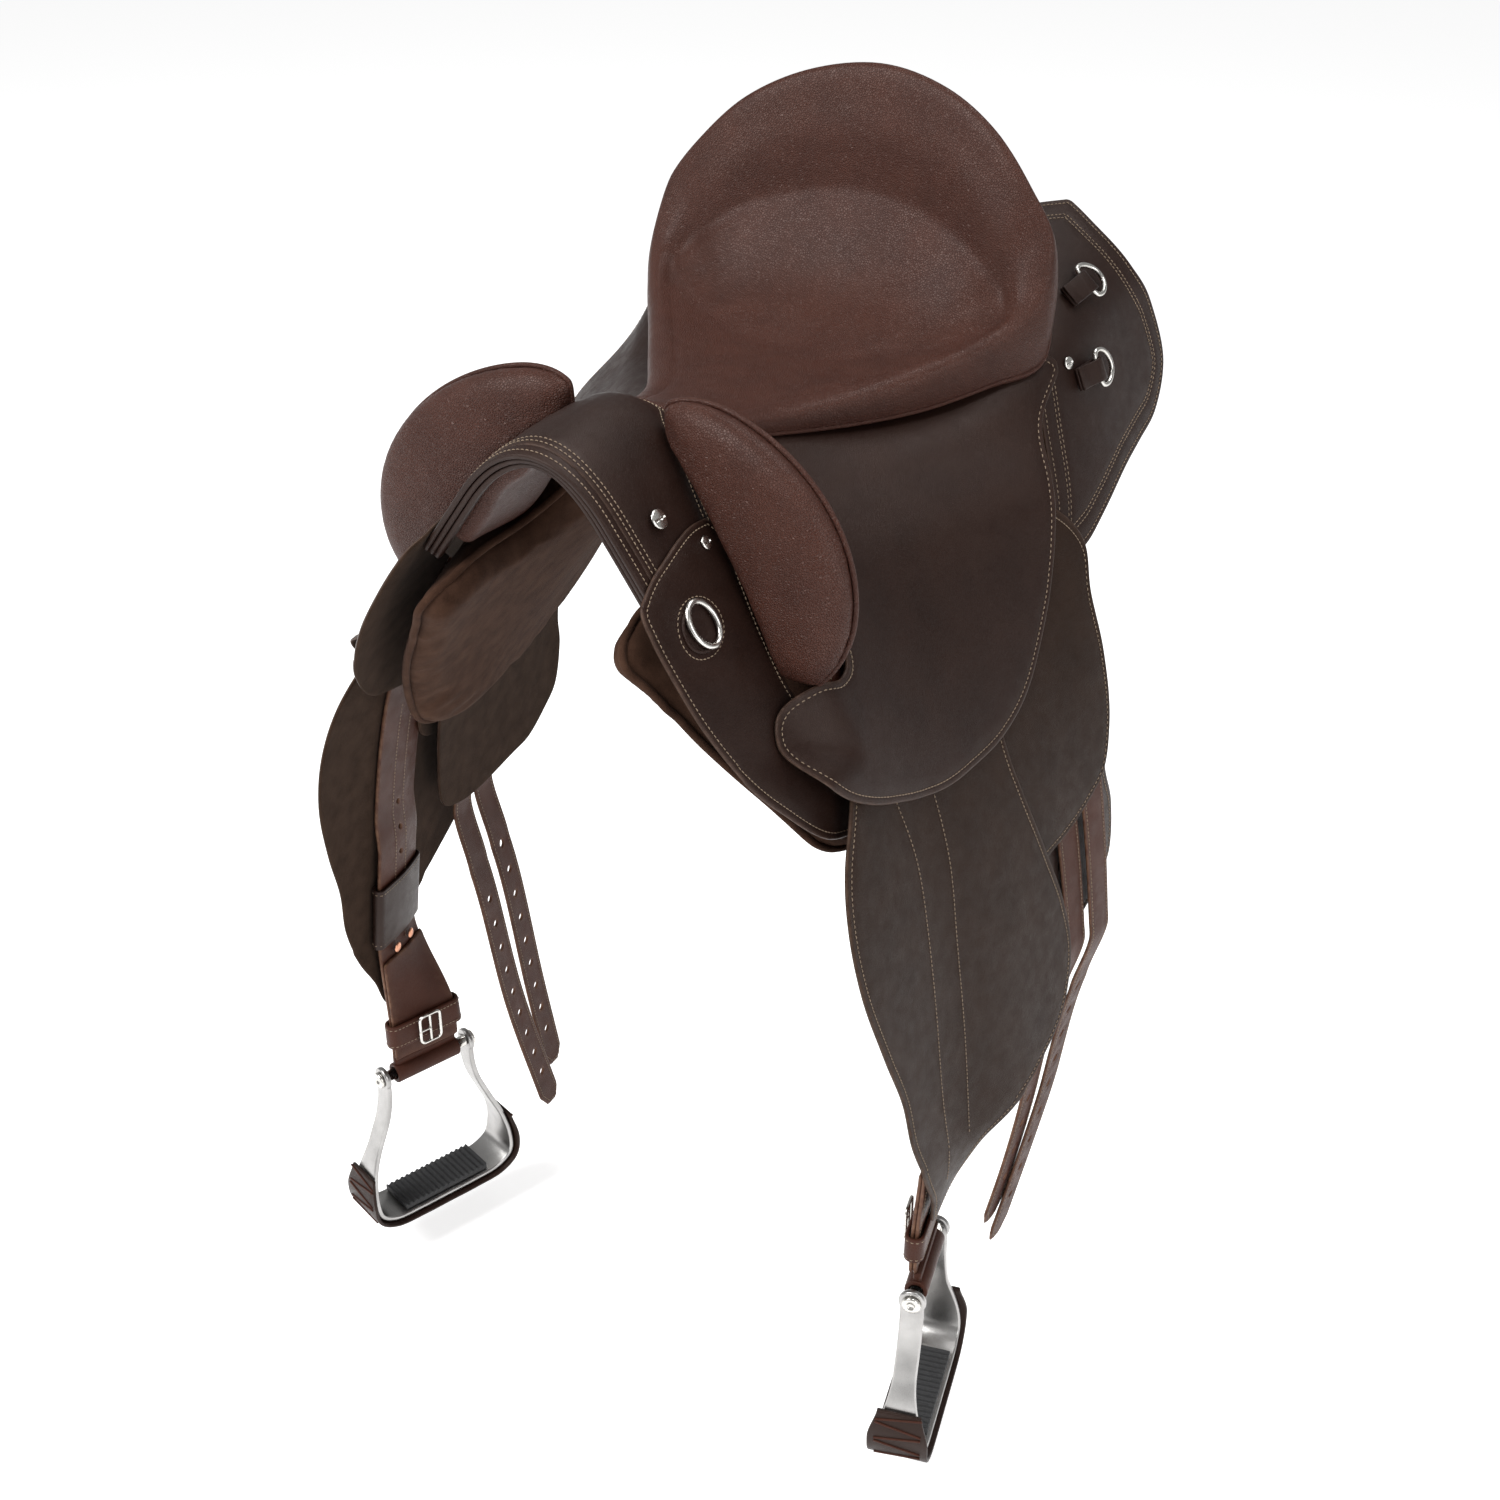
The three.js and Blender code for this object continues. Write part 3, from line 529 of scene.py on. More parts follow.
def make_looks():
    return {
        "seat": leather_look("seat_leather", (0.036, 0.0115, 0.0075), (0.066, 0.0225, 0.0145),
                             (0.1, 0.04, 0.026), 0.42, 560, 0.0006, 0.06, 0.28),
        "dark": leather_look("dark_leather", (0.0125, 0.0055, 0.004), (0.023, 0.0108, 0.0078),
                             (0.075, 0.043, 0.03), 0.38, 1000, 0.0001, 0.03, 0.22),
        "fender": leather_look("fender_leather", (0.0145, 0.0072, 0.0046),
                               (0.027, 0.0142, 0.0092), (0.08, 0.048, 0.033), 0.46, 900,
                               0.00012, 0.0, 0.14),
        "strap": leather_look("strap_leather", (0.036, 0.0115, 0.007), (0.068, 0.0225, 0.0135),
                              (0.17, 0.09, 0.055), 0.44, 1000, 0.0001, 0.0, 0.18),
        "suede": suede_look("suede", (0.026, 0.0125, 0.008), (0.055, 0.028, 0.018)),
        "flesh": suede_look("flesh_side", (0.021, 0.012, 0.008), (0.04, 0.024, 0.0165)),
        "thread": plain_look("thread", (0.15, 0.105, 0.07), (0.3, 0.22, 0.15), 0.7, 900,
                             0.0001),
        "nickel": metal_look("nickel", (0.72, 0.7, 0.66), 0.22),
        "steel": metal_look("steel_plate", (0.42, 0.42, 0.43), 0.38, (1, 12, 1)),
        "alloy": metal_look("brushed_alloy", (0.45, 0.44, 0.43), 0.3, (10, 1.2, 1)),
        "copper": metal_look("copper", (0.72, 0.35, 0.22), 0.32),
        "rubber": plain_look("tread_rubber", (0.012, 0.012, 0.013), (0.03, 0.03, 0.031), 0.7,
                             400, 0.0002),
        "wood": plain_look("tree_laminate", (0.03, 0.017, 0.01), (0.06, 0.036, 0.022), 0.7, 60,
                           0.0004, (14, 1, 14)),
    }


# ---- leather cut from sheet, with stitching ----
EDGE_ROUND = 1.5
ROWS = (0.3, 0.9, 1.6)
SHEET_CELL = 7.0
GROOVE = 0.32
FLESH = 2  # a leather piece's materials: its grain side, its thread and its flesh side
STITCH = {"pitch": 3.6, "length": 2.9, "radius": 0.42}
STITCH_ROWS = [(-0.5, 0.0, -0.55), (-0.36, 0.72, 0.02), (0.0, 1.0, 0.26), (0.36, 0.72, 0.02),
               (0.5, 0.0, -0.55)]


def uv_of(points):
    """Plane coordinates (y, w) for surface stations (y, z); negative y stays as it is."""
    y, z = np.array(points, float).T
    return np.stack([y, look_up(W_OF_S, S_STEP, y, s_at(y, z))], 1)


def cut_out(points, corners=(), step=3.0):
    """A leather outline through stations (y, z), as an anticlockwise loop in the plane."""
    return turned_to(evenly(spline(uv_of(points), True, corners), step, True), True)


def s_of(flat):
    return look_up(S_OF_W, W_STEP, flat[:, 0], flat[:, 1])


def stitch_shape():
    """One stitch along x, standing on z = 0, as points and faces."""
    rings, sides = [], 6
    for at, size, lift in STITCH_ROWS:
        turn = np.arange(sides) * 2 * math.pi / sides
        radius = STITCH["radius"] * max(size, 0.35)
        rings.append(np.stack([np.full(sides, at * STITCH["length"]), radius * np.cos(turn),
                               lift + radius * np.sin(turn)], 1))
    return sweep(rings)


STITCH_POINTS, STITCH_FACES = stitch_shape()


def add_stitches(piece, centres, ahead, out, material=1):
    """Stitches at 3-D points, along the ahead directions and standing out."""
    if not len(centres):
        return
    ahead = ahead / np.linalg.norm(ahead, axis=1, keepdims=True)
    side = np.cross(out, ahead)
    side /= np.linalg.norm(side, axis=1, keepdims=True)
    out = np.cross(ahead, side)
    p = STITCH_POINTS
    made = (centres[:, None] + ahead[:, None] * p[None, :, :1] + side[:, None] * p[None, :, 1:2]
            + out[:, None] * p[None, :, 2:])
    shift = np.arange(len(centres))[:, None, None] * len(p)
    faces = [(f[None] + shift).reshape(-1, f.shape[1]) for f in STITCH_FACES]
    piece.add(made, faces, material)


def inset(loop, d):
    """The line at a set distance inside a loop."""
    moved = loop + inward(loop) * d
    keep = inside(moved, loop) & (edge_distance(moved, [loop]) > d * 0.95)
    return moved[keep]


class Leather:
    """How one layer lies: its placing, the level of its back face and its thickness."""

    def __init__(self, level, thick=LEATHER, place=surface):
        self.level, self.thick, self.place = level, thick, place

    def base(self, flat, s):
        if callable(self.level):
            return self.level(flat[:, 0], profile(flat[:, 0], s)[:, 2])
        return np.full(len(flat), float(self.level))

    def at(self, flat, height=0.0):
        """Points at a height over the front face."""
        s = s_of(flat)
        return self.place(flat[:, 0], s, self.base(flat, s) + self.thick + height)


def shell(flat, tris, gap, front, back):
    """A closed solid between two faces of the same triangles, which share the rim's points."""
    rim = gap < 1e-3
    n = len(flat)
    other = np.where(rim, np.arange(n), n + np.cumsum(~rim) - 1)
    return np.concatenate([front, back[~rim]]), [tris, other[tris[:, ::-1]]], ~rim


def add_sheet(piece, lie, loops, grooves=()):
    """A closed leather sheet with rounded edges and sunk lines for its stitches."""
    rows = list(ROWS)
    for g in grooves:
        rows += [g - 0.9, g, g + 0.9]
    flat, tris, gap = fill(loops, sorted(rows), SHEET_CELL)
    s = s_of(flat)
    near = np.clip(gap / EDGE_ROUND, 0, 1)
    full = np.sqrt(1 - (1 - near) ** 2) * lie.thick / 2
    dip = sum(GROOVE * np.exp(-((gap - g) / 0.6) ** 2) for g in grooves) + np.zeros(len(gap))
    middle = lie.base(flat, s) + lie.thick / 2
    front = lie.place(flat[:, 0], s, middle + full - dip)
    back = lie.place(flat[:, 0], s, middle - full)
    points, faces, doubled = shell(flat, tris, gap, front, back)
    edge = np.exp(-gap / 1.1)
    piece.add(points, faces, (0, FLESH if len(piece.materials) > FLESH else 0),
              np.concatenate([edge, edge[doubled]]))


def sew(piece, lie, line, closed=False, material=1, sunk=GROOVE, back=False):
    """Stitches along a line in the plane, lying in the layer's front or back face."""
    pitch = STITCH["pitch"]
    dots = evenly(line, pitch, closed)
    ahead = np.roll(dots, -1, 0) - dots
    if not closed:
        ahead[-1] = ahead[-2]
    ahead /= np.maximum(np.linalg.norm(ahead, axis=1, keepdims=True), 1e-9)
    height = 0.1 - lie.thick if back else 0.18 - sunk
    here = lie.at(dots, height)
    out = lie.at(dots, height - 1 if back else height + 1) - here
    add_stitches(piece, here, lie.at(dots + ahead, height) - here, out, material)


def sewn_sheet(piece, lie, loop, insets):
    """A sheet with stitched lines round its edge at each inset."""
    add_sheet(piece, lie, [loop], insets)
    for d in insets:
        sew(piece, lie, inset(loop, d), True)


def add_cord(piece, points, radius, material=0, closed=False, sides=8):
    """A round cord through 3-D points."""
    ahead = np.roll(points, -1, 0) - np.roll(points, 1, 0)
    if not closed:
        ahead[0], ahead[-1] = points[1] - points[0], points[-1] - points[-2]
    ahead /= np.linalg.norm(ahead, axis=1, keepdims=True)
    side = np.cross(ahead, UP)
    weak = np.linalg.norm(side, axis=1) < 0.2
    side[weak] = np.cross(ahead[weak], [0, 1.0, 0])
    for k in range(1, len(side)):
        side[k] = side[k - 1] - ahead[k] * (side[k - 1] @ ahead[k])
        side[k] /= np.linalg.norm(side[k])
    side[0] /= np.linalg.norm(side[0])
    out = np.cross(side, ahead)
    if closed:
        twist = math.atan2(side[0] @ out[-1], side[0] @ side[-1])
        turn = twist * np.arange(len(side))[:, None] / len(side)
        side, out = (side * np.cos(turn) + out * np.sin(turn),
                     out * np.cos(turn) - side * np.sin(turn))
    a = (np.arange(sides) * 2 * math.pi / sides)[None, :, None]
    r = np.broadcast_to(radius, len(points))[:, None, None]
    rings = points[:, None] + r * (side[:, None] * np.cos(a) + out[:, None] * np.sin(a))
    made, faces = sweep(rings, closed)
    piece.add(made, faces, material)


def loft(piece, rings, material=0, closed=False):
    made, faces = sweep(rings, closed)
    piece.add(made, faces, material)


def lathe(piece, profile, centre, axis, material=0, sides=28):
    """A turned shape: profile points are (radius, height along the axis)."""
    axis = axis / np.linalg.norm(axis)
    side = np.cross(axis, [0.3, 0.2, 0.93])
    side /= np.linalg.norm(side)
    other = np.cross(axis, side)
    a = (np.arange(sides) * 2 * math.pi / sides)[:, None]
    rings = [centre + axis * h + r * (side * np.cos(a) + other * np.sin(a)) for r, h in profile]
    loft(piece, rings, material)


def puff(points, faces, cell, pressure, limit):
    """Blows a closed shape up as cloth, so that it swells and settles; returns the new shape."""
    mesh = bpy.data.meshes.new("puff")
    mesh.from_pydata((np.asarray(points) * MM).tolist(), [],
                     [f for part in faces for f in part.tolist()])
    obj = bpy.data.objects.new("puff", mesh)
    bpy.context.scene.collection.objects.link(obj)
    remesh = obj.modifiers.new("remesh", "REMESH")
    remesh.mode = "VOXEL"
    remesh.voxel_size = cell * MM
    evaluated = obj.evaluated_get(bpy.context.evaluated_depsgraph_get())
    fine = bpy.data.meshes.new_from_object(evaluated)
    obj.modifiers.clear()
    obj.data = fine
    start = np.array([v.co[:] for v in fine.vertices])
    cloth = obj.modifiers.new("cloth", "CLOTH")
    cloth.settings.use_pressure = True
    cloth.settings.uniform_pressure_force = pressure
    cloth.settings.effector_weights.gravity = 0
    cloth.settings.tension_stiffness = 40
    cloth.settings.bending_stiffness = 4
    cloth.point_cache.frame_start, cloth.point_cache.frame_end = 1, 20
    for k in range(1, 21):
        bpy.context.scene.frame_set(k)
    evaluated = obj.evaluated_get(bpy.context.evaluated_depsgraph_get())
    end = np.array([v.co[:] for v in evaluated.data.vertices])
    shift = end - start
    size = np.maximum(np.linalg.norm(shift, axis=1, keepdims=True), 1e-9)
    moved = start + shift * np.minimum(1, limit * MM / size)
    made = [np.array([p.vertices[:] for p in fine.polygons if len(p.vertices) == k])
            for k in (3, 4)]
    bpy.data.objects.remove(obj)
    bpy.context.scene.frame_set(1)
    return moved / MM, [f for f in made if len(f)]


# ---- pieces of the centre ----
SEAT_RIM = [(0, -116, 108), (34, -108, 101), (46, -66, 86), (62, -16, 82), (98, 40, 88),
            (130, 87, 100), (160, 132, 116), (178, 172, 138), (172, 192, 168), (148, 200, 200),
            (112, 212, 234), (62, 226, 258), (0, 234, 268)]
SEAT_BASE = [(0, -112, 103), (32, -104, 92), (42, -66, 70), (59, -16, 58), (92, 40, 53),
             (122, 87, 54), (152, 132, 63), (175, 170, 71), (166, 204, 97), (147, 224, 115),
             (112, 242, 136), (62, 253, 150), (0, 258, 155)]
SEAT_LOW = {"y": 70, "top": 76, "under": 60}
DISH, BOWL = 2.9, 2.4  # how steeply the seat's top and underside rise to the rim


def matched(points):
    """The loop with its turns at the control points, so that rim and base stay in step."""
    whole = points + [(-x, y, z) for x, y, z in points[-2:0:-1]]
    return spline(whole, True, per=8)


def make_seat(looks):
    rim, base = matched(SEAT_RIM), matched(SEAT_BASE)
    centre = np.array([0.0, SEAT_LOW["y"], SEAT_LOW["top"]])

    def dish(k):
        ring = centre + (rim - centre) * k
        ring[:, 2] = centre[2] + (rim[:, 2] - 6 * k - centre[2]) * k ** DISH
        return ring
    away = (rim - centre) * (1, 1, 0)
    away /= np.linalg.norm(away, axis=1, keepdims=True)
    rings = [dish(k) for k in np.linspace(0.04, 0.73, 22)]
    def roll(k, bulge):
        return dish(k) + (0.75 * UP - 0.65 * away) * bulge
    mid = [roll(0.77, -0.8), roll(0.81, -2.2), roll(0.85, 2.6), roll(0.895, 7.6),
           roll(0.945, 8.8), rim - 4.5 * away - 0.2 * UP, rim * 0.88 + base * 0.12 + away,
           rim * 0.6 + base * 0.4 + away * 3.6, rim * 0.25 + base * 0.75 + away * 2.6, base]
    raised = ramp(rim[:, 2:], 98, 172)
    crown, shoulder = dish(0.92) + 2.6 * UP, rim * 0.74 + base * 0.26 + 7.5 * away
    for k in range(len(mid) - 1):
        p0, p1, p2 = mid[max(k - 1, 0)], mid[k], mid[k + 1]
        p3 = mid[min(k + 2, len(mid) - 1)]
        for u in (0, 0.25, 0.5, 0.75):
            sharp = 0.5 * (2 * p1 + (p2 - p0) * u + (2 * p0 - 5 * p1 + 4 * p2 - p3) * u * u
                           + (3 * p1 - p0 - 3 * p2 + p3) * u ** 3)
            v = (k + u) / (len(mid) - 1)
            soft = ((1 - v) ** 3 * mid[0] + 3 * v * (1 - v) ** 2 * crown
                    + 3 * v * v * (1 - v) * shoulder + v ** 3 * base)
            rings.append(sharp * raised + soft * (1 - raised))
    rings.append(base)
    under = np.array([0.0, SEAT_LOW["y"], SEAT_LOW["under"]])
    for k in (0.97, 0.8, 0.5, 0.1):
        ring = under + (base - under) * k
        ring[:, 2] = under[2] + (base[:, 2] - under[2]) * k ** BOWL
        rings.append(ring)
    piece = Piece("seat_cover", [looks["seat"], looks["thread"]])
    loft(piece, rings)
    welt = base + (rim - base) * 0.05 + away * 0.6
    add_cord(piece, evenly(welt, 3.0, True), 1.7, closed=True)
    obj = piece.done("saddle", "seat_leather", "seat")


LINING_SECTION = [(-233, -7), (-229, -3), (-212, -3), (-207, -9), (-202, -15.6), (-152, -15.6),
                  (-149, -18.5), (-153, -21), (-214, -21), (-229, -19.5), (-233, -14)]


def make_pommel(looks):
    lie = Leather(0.4)
    y_front = -236.0
    low = [(-236, 30), (-210, 30), (-180, 30), (-160, 34), (-148, 62), (-132, 94)]
    left = uv_of(low)
    top = np.array([(-116, 22.0), (-112, 0.0), (-116, -22.0)])
    right = left[::-1] * (1, -1)
    front = np.array([(y_front, w) for w in np.linspace(-left[0, 1], left[0, 1], 9)[1:-1]])
    loop = np.concatenate([left, top, right, front])
    corners = (0, len(left) * 2 + 2)
    loop = turned_to(evenly(spline(loop, True, corners), 3, True), True)
    piece = Piece("pommel_cover_leather", [looks["dark"], looks["thread"]])
    sewn_sheet(piece, lie, loop, (4.5, 8.5))
    piece.done("saddle", "dark_leather", "pommel_cover")

    piece = Piece("arch_binding_layers", [looks["dark"], looks["thread"]])
    reach = float(s_at(np.array(-240.0), np.array(20.0)))
    around = np.linspace(-reach, reach, 90)
    for layer in range(3):
        shape = rounded(10.6 - 0.8 * layer, 4.2, 1.5, 4)
        mid = 1.3 - 4.4 * layer
        rings = [surface(-240.5 + shape[:, 0] + 0.4 * layer, np.full(len(shape), s),
                         mid + shape[:, 1]) for s in around]
        loft(piece, rings)
    lie = Leather(0.2)
    w = look_up(W_OF_S, S_STEP, np.array(-240.5), np.array(reach))
    line = np.stack([np.full(120, -240.5), np.linspace(-w, w, 120)], 1)
    sew(piece, lie, line, sunk=0.1)
    piece.done("saddle", "dark_leather", "arch_binding")

    piece = Piece("arch_lining_pad", [looks["seat"]])
    reach = float(s_at(np.array(-220.0), np.array(34.0)))
    shape = evenly(spline(LINING_SECTION, True, per=6), 3.0, True)
    rings = []
    for s in np.linspace(-reach, reach, 120):
        swell = 0.94 + 0.05 * math.cos(s * 11)
        rings.append(surface(shape[:, 0], np.full(len(shape), s), shape[:, 1] * swell))
    loft(piece, rings)
    piece.done("saddle", "seat_leather", "arch_lining")


# ---- pieces of each side ----
LEAF = [(-163, 49), (-184, 50), (-219, 42), (-260, 25), (-266, 8), (-267, -20), (-264, -48),
        (-252, -83), (-232, -113), (-192, -150), (-140, -156), (-150, -100), (-172, -62),
        (-172, -28), (-163, 9), (-155, 36)]
LEAF_WINDOW = {"y": -222, "z": 1, "half_y": 17, "half_z": 15}
REAR_SKIRT = [(178, 80), (215, 112), (258, 141), (300, 151), (335, 153), (327, 135), (330, 110),
              (341, 81), (340, 33), (310, 1), (275, -13), (190, -50), (164, -62), (122, -70),
              (142, -36), (160, 30)]
UNDER_FLAP = [(-70, 4), (-90, -90), (-90, -190), (-84, -240), (-78, -271), (-60, -333),
              (-20, -354), (67, -352), (96, -348), (121, -333), (140, -315), (146, -271),
              (139, -240), (134, -190), (128, -90), (100, 4)]
MID_FLAP = [(-60, -8), (-90, -55), (-104, -129), (-104, -192), (-90, -245), (-50, -266),
            (29, -262), (92, -243), (116, -227), (131, -191), (139, -137), (142, -91),
            (151, -57), (132, -24), (84, -8)]
FENDER = [(-126, -48), (-142, -84), (-185, -130), (-212, -167), (-222, -203), (-221, -250),
          (-206, -309), (-190, -359), (-183, -402), (-166, -446), (-152, -475), (-144, -502),
          (-126, -506), (-108, -502), (-98, -474), (-84, -448), (-24, -420), (15, -391),
          (33, -346), (28, -298), (13, -249), (-1, -195), (-4, -160), (14, -84), (18, -48)]
FENDER_SEAMS = [[(-137, -150), (-132, -192), (-135, -252), (-137, -317), (-138, -387),
                 (-131, -463)], [(-93, -163), (-94, -208), (-100, -268), (-102, -352),
                                 (-105, -430)]]
JOCKEY = [(-118, 44), (-80, 55), (-19, 58), (40, 52), (96, 54), (133, 59), (167, 68), (186, 75),
          (190, 66), (155, 33), (134, -7), (105, -59), (56, -112), (23, -137), (-12, -152),
          (-54, -159), (-101, -158), (-148, -146), (-186, -129), (-205, -111), (-213, -88),
          (-209, -71), (-196, -61), (-172, -59), (-152, -64), (-138, -60), (-127, -30),
          (-122, 8)]
JOCKEY_TUCK = [(100, 6), (150, 3.2)]


def jockey_level(y, z):
    over = np.maximum(ramp(y, -205, -160), 1 - ramp(z, -112, -78))
    down = 1 - ramp(z, -34, 56)
    tuck = along(JOCKEY_TUCK, y)
    lobe = LEVEL["lobe"]
    return lobe + (LEVEL["jockey"] - lobe) * over * down - tuck * (1 - down)


def oval(y, w, half_y, half_w, step=2.0):
    count = int(round(2 * math.pi * max(half_y, half_w) / step))
    a = np.arange(count) * 2 * math.pi / count
    return np.stack([y + half_y * np.cos(a), w + half_w * np.sin(a)], 1)


def make_flaps(looks, side):
    mirror = side == "right"

    def leather(name, look="dark"):
        return Piece(f"{name}_{side}", [looks[look], looks["thread"], looks["flesh"]], mirror)
    leaf = leather("leaf_leather")
    lie = Leather(LEVEL["leaf"] + 0.2, 3.0)
    sewn_sheet(leaf, lie, cut_out(LEAF, (0,)), (4.5,))
    y, w = uv_of([(LEAF_WINDOW["y"], LEAF_WINDOW["z"])])[0]
    for grow in (0, 4.5):
        ring = oval(y, w, LEAF_WINDOW["half_y"] + grow, LEAF_WINDOW["half_z"] + grow)
        if grow:
            sew(leaf, lie, ring, True, sunk=0.15)
        else:
            edge = lie.at(evenly(ring, 1.5, True), 0.5)
            add_cord(leaf, edge, 1.3, closed=True, sides=10)
    leaf.done("saddle", "dark_leather", f"front_skirt_{side}")

    skirt = leather("rear_skirt_leather")
    lie = Leather(0.2, 3.0)
    sewn_sheet(skirt, lie, cut_out(REAR_SKIRT, (2, 4)), (5.0, 17.0, 20.5))
    skirt.done("saddle", "dark_leather", f"rear_skirt_{side}")

    under = leather("under_flap_leather")
    lie = Leather(-0.5, 3.0)
    sewn_sheet(under, lie, cut_out(UNDER_FLAP), (5.0,))
    patch = uv_of([(104, -250), (112, -284), (134, -308)])
    sew(under, lie, spline(patch), sunk=0.1)
    under.done("saddle", "dark_leather", f"under_flap_{side}")

    mid = leather("mid_flap_leather", "fender")
    sewn_sheet(mid, Leather(LEVEL["mid"], 3.0), cut_out(MID_FLAP), (5.0,))
    mid.done("saddle", "fender_leather", f"mid_flap_{side}")

    jockey = leather("jockey_leather")
    lie = Leather(jockey_level, 3.1)
    sewn_sheet(jockey, lie, cut_out(JOCKEY, (0, 7)), (5.0,))
    jockey.done("saddle", "dark_leather", f"jockey_{side}")

    fender = leather("fender_leather", "fender")
    lie = Leather(LEVEL["fender"] + 0.1, 3.0, hanging(side))
    sewn_sheet(fender, lie, cut_out(FENDER, (0, 24)), (5.0,))
    for line in FENDER_SEAMS:
        sew(fender, lie, spline(uv_of(line)), sunk=0.15)
    fender.done(f"fender_{side}", "fender_leather", f"fender_{side}")


PANEL = {"outer": -13.4, "depth": 24.0, "edge": 13.0, "rise": 9.0}
CORNER_BLURS = 10
PANEL_TOP = [(-250, 1.46), (-200, 1.4), (-150, 1.28), (-110, .86), (-60, .34), (0, .26),
             (100, .18), (250, .2), (350, .34)]
PANEL_BOTTOM = [(-259, -32), (-243, -84), (-210, -131), (-150, -180), (-60, -186), (40, -156),
                (140, -92), (230, -50), (310, -14), (350, 10)]
PANEL_FRONT = [(0, -240), (.15, -258), (.3, -270), (.5, -270), (.75, -246), (1, -176)]
PANEL_REAR = [(0, 290), (.4, 345), (.8, 352), (1, 320)]


def panel_point(u, v):
    front, rear = along(PANEL_FRONT, v), along(PANEL_REAR, v)
    y = front + (rear - front) * u
    top = along(PANEL_TOP, y)
    low = s_at(y, along(PANEL_BOTTOM, y))
    return y, top + (low - top) * v


def make_panel(looks, side):
    go, n = np.linspace(0, 1, 60, endpoint=False), 60
    u = np.concatenate([go, np.ones(n), 1 - go, np.zeros(n)])
    v = np.concatenate([np.ones(n), 1 - go, np.zeros(n), go])
    y, s = panel_point(u, v)
    loop = np.stack([y, look_up(W_OF_S, S_STEP, y, s)], 1)
    loop = turned_to(evenly(loop, 5.0, True), True)
    blurred = loop
    for _ in range(CORNER_BLURS):
        blurred = (np.roll(blurred, 1, 0) + blurred * 2 + np.roll(blurred, -1, 0)) / 4
    loop = evenly(blurred, 5.0, True)
    rows = (0.6, 2.0, 4.2, 7.0, 10.0, 13.0)
    flat, tris, gap = fill([loop], rows, 8.0)
    s = s_of(flat)
    near = np.clip(gap / PANEL["edge"], 0, 1)
    full = np.sqrt(1 - (1 - near) ** 2) * PANEL["depth"] / 2
    middle = PANEL["outer"] - 12.4
    behind_tree = PANEL["rise"] * ramp(flat[:, 0], 234, 262) * full / (PANEL["depth"] / 2)
    front = surface(flat[:, 0], s, middle + full + behind_tree)
    back = surface(flat[:, 0], s, middle - full)
    points, faces, _ = shell(flat, tris, gap, front, back)
    points, faces = puff(points, faces, 5.0, 3.0, 5.0)
    piece = Piece(f"panel_suede_{side}", [looks["suede"]], side == "right")
    piece.add(points, faces)
    seam = loop + inward(loop) * 1.6
    cord = surface(seam[:, 0], s_of(seam), np.full(len(seam), middle + 1.0))
    add_cord(piece, evenly(cord, 4.0, True), 3.2, 0, True)
    obj = piece.done("saddle", "suede", f"panel_{side}")
    add_subdivision(obj)


def add_subdivision(obj, levels=1):
    smooth = obj.modifiers.new("smooth", "SUBSURF")
    smooth.levels = smooth.render_levels = levels


KNEE = {"top": (36, -142, 117), "bottom": (171, -172, -50), "height": 84, "thick": 31, "root": 5.5}


def make_knee(looks, side):
    top, bottom = np.array(KNEE["top"], float), np.array(KNEE["bottom"], float)
    chord = (bottom - top) / np.linalg.norm(bottom - top)
    out = np.array([-chord[2], 0, chord[0]])
    out /= np.linalg.norm(out)
    face = np.cross(chord, out)
    middle = (top + bottom) / 2 + out * KNEE["height"] * 0.4
    turn = np.linspace(-math.pi, math.pi, 96, endpoint=False)
    part = (0.5 - 0.5 * np.cos(turn))[:, None]
    line = top + (bottom - top) * part
    low = 0.5 + 0.5 * np.cos(turn)
    height = KNEE["height"] * np.sin(turn) * (1 - 0.3 * low * low)
    free = line + out * height[:, None]
    root = surface(line[:, 1], s_at(line[:, 1], np.minimum(line[:, 2], 98)),
                   np.full(len(line), float(KNEE["root"])))
    outline = np.where((turn > 0)[:, None], free, root)
    rings = []
    for polar in np.linspace(0.06, math.pi - 0.06, 26):
        wide = math.sin(polar) ** 0.5
        rings.append(middle + (outline - middle) * wide
                     + face * math.cos(polar) * KNEE["thick"] / 2)
    made, faces = sweep(rings)
    made, faces = puff(made, faces, 4.0, 4.0, 4.0)
    piece = Piece(f"knee_pad_cover_{side}", [looks["seat"], looks["thread"]], side == "right")
    piece.add(made, faces)
    welt = middle + (outline - middle) * 0.985
    lean = 6.0 * np.minimum(1, 1.7 * np.maximum(np.sin(turn), 0))[:, None]
    shown = (welt - face * lean)[(turn > -0.15) & (turn < math.pi - 0.05)]
    add_cord(piece, evenly(spline(shown, per=4), 2.5), 2.3, 0)
    obj = piece.done("saddle", "seat_leather", f"knee_pad_{side}")
    add_subdivision(obj)


# ---- straps, stirrups and billets ----
def strap_dip(z):
    return LEVEL["strap"] - 4.6 * (1 - ramp(z, -340, -300))


def strap_double(z):
    return STRAP["thick"] * (1 - ramp(z, -462, -448))


def bolt_frame(side):
    toe = TOE_OUT[side]
    return (np.array([math.sin(toe), -math.cos(toe), 0]),
            np.array([math.cos(toe), math.sin(toe), 0]))


def flat_ring(piece, centre, axis, radius, hole, width, material=0):
    """A turned ring whose section is a rounded rectangle."""
    shape = rounded(radius - hole, width, min(radius - hole, width) * 0.3, 4)
    side = np.cross(axis, UP)
    rings = []
    for a in np.arange(36) * 2 * math.pi / 36:
        ray = side * math.cos(a) + UP * math.sin(a)
        rings.append(centre + ray * ((radius + hole) / 2 + shape[:, :1]) + axis * shape[:, 1:])
    loft(piece, rings, material, True)


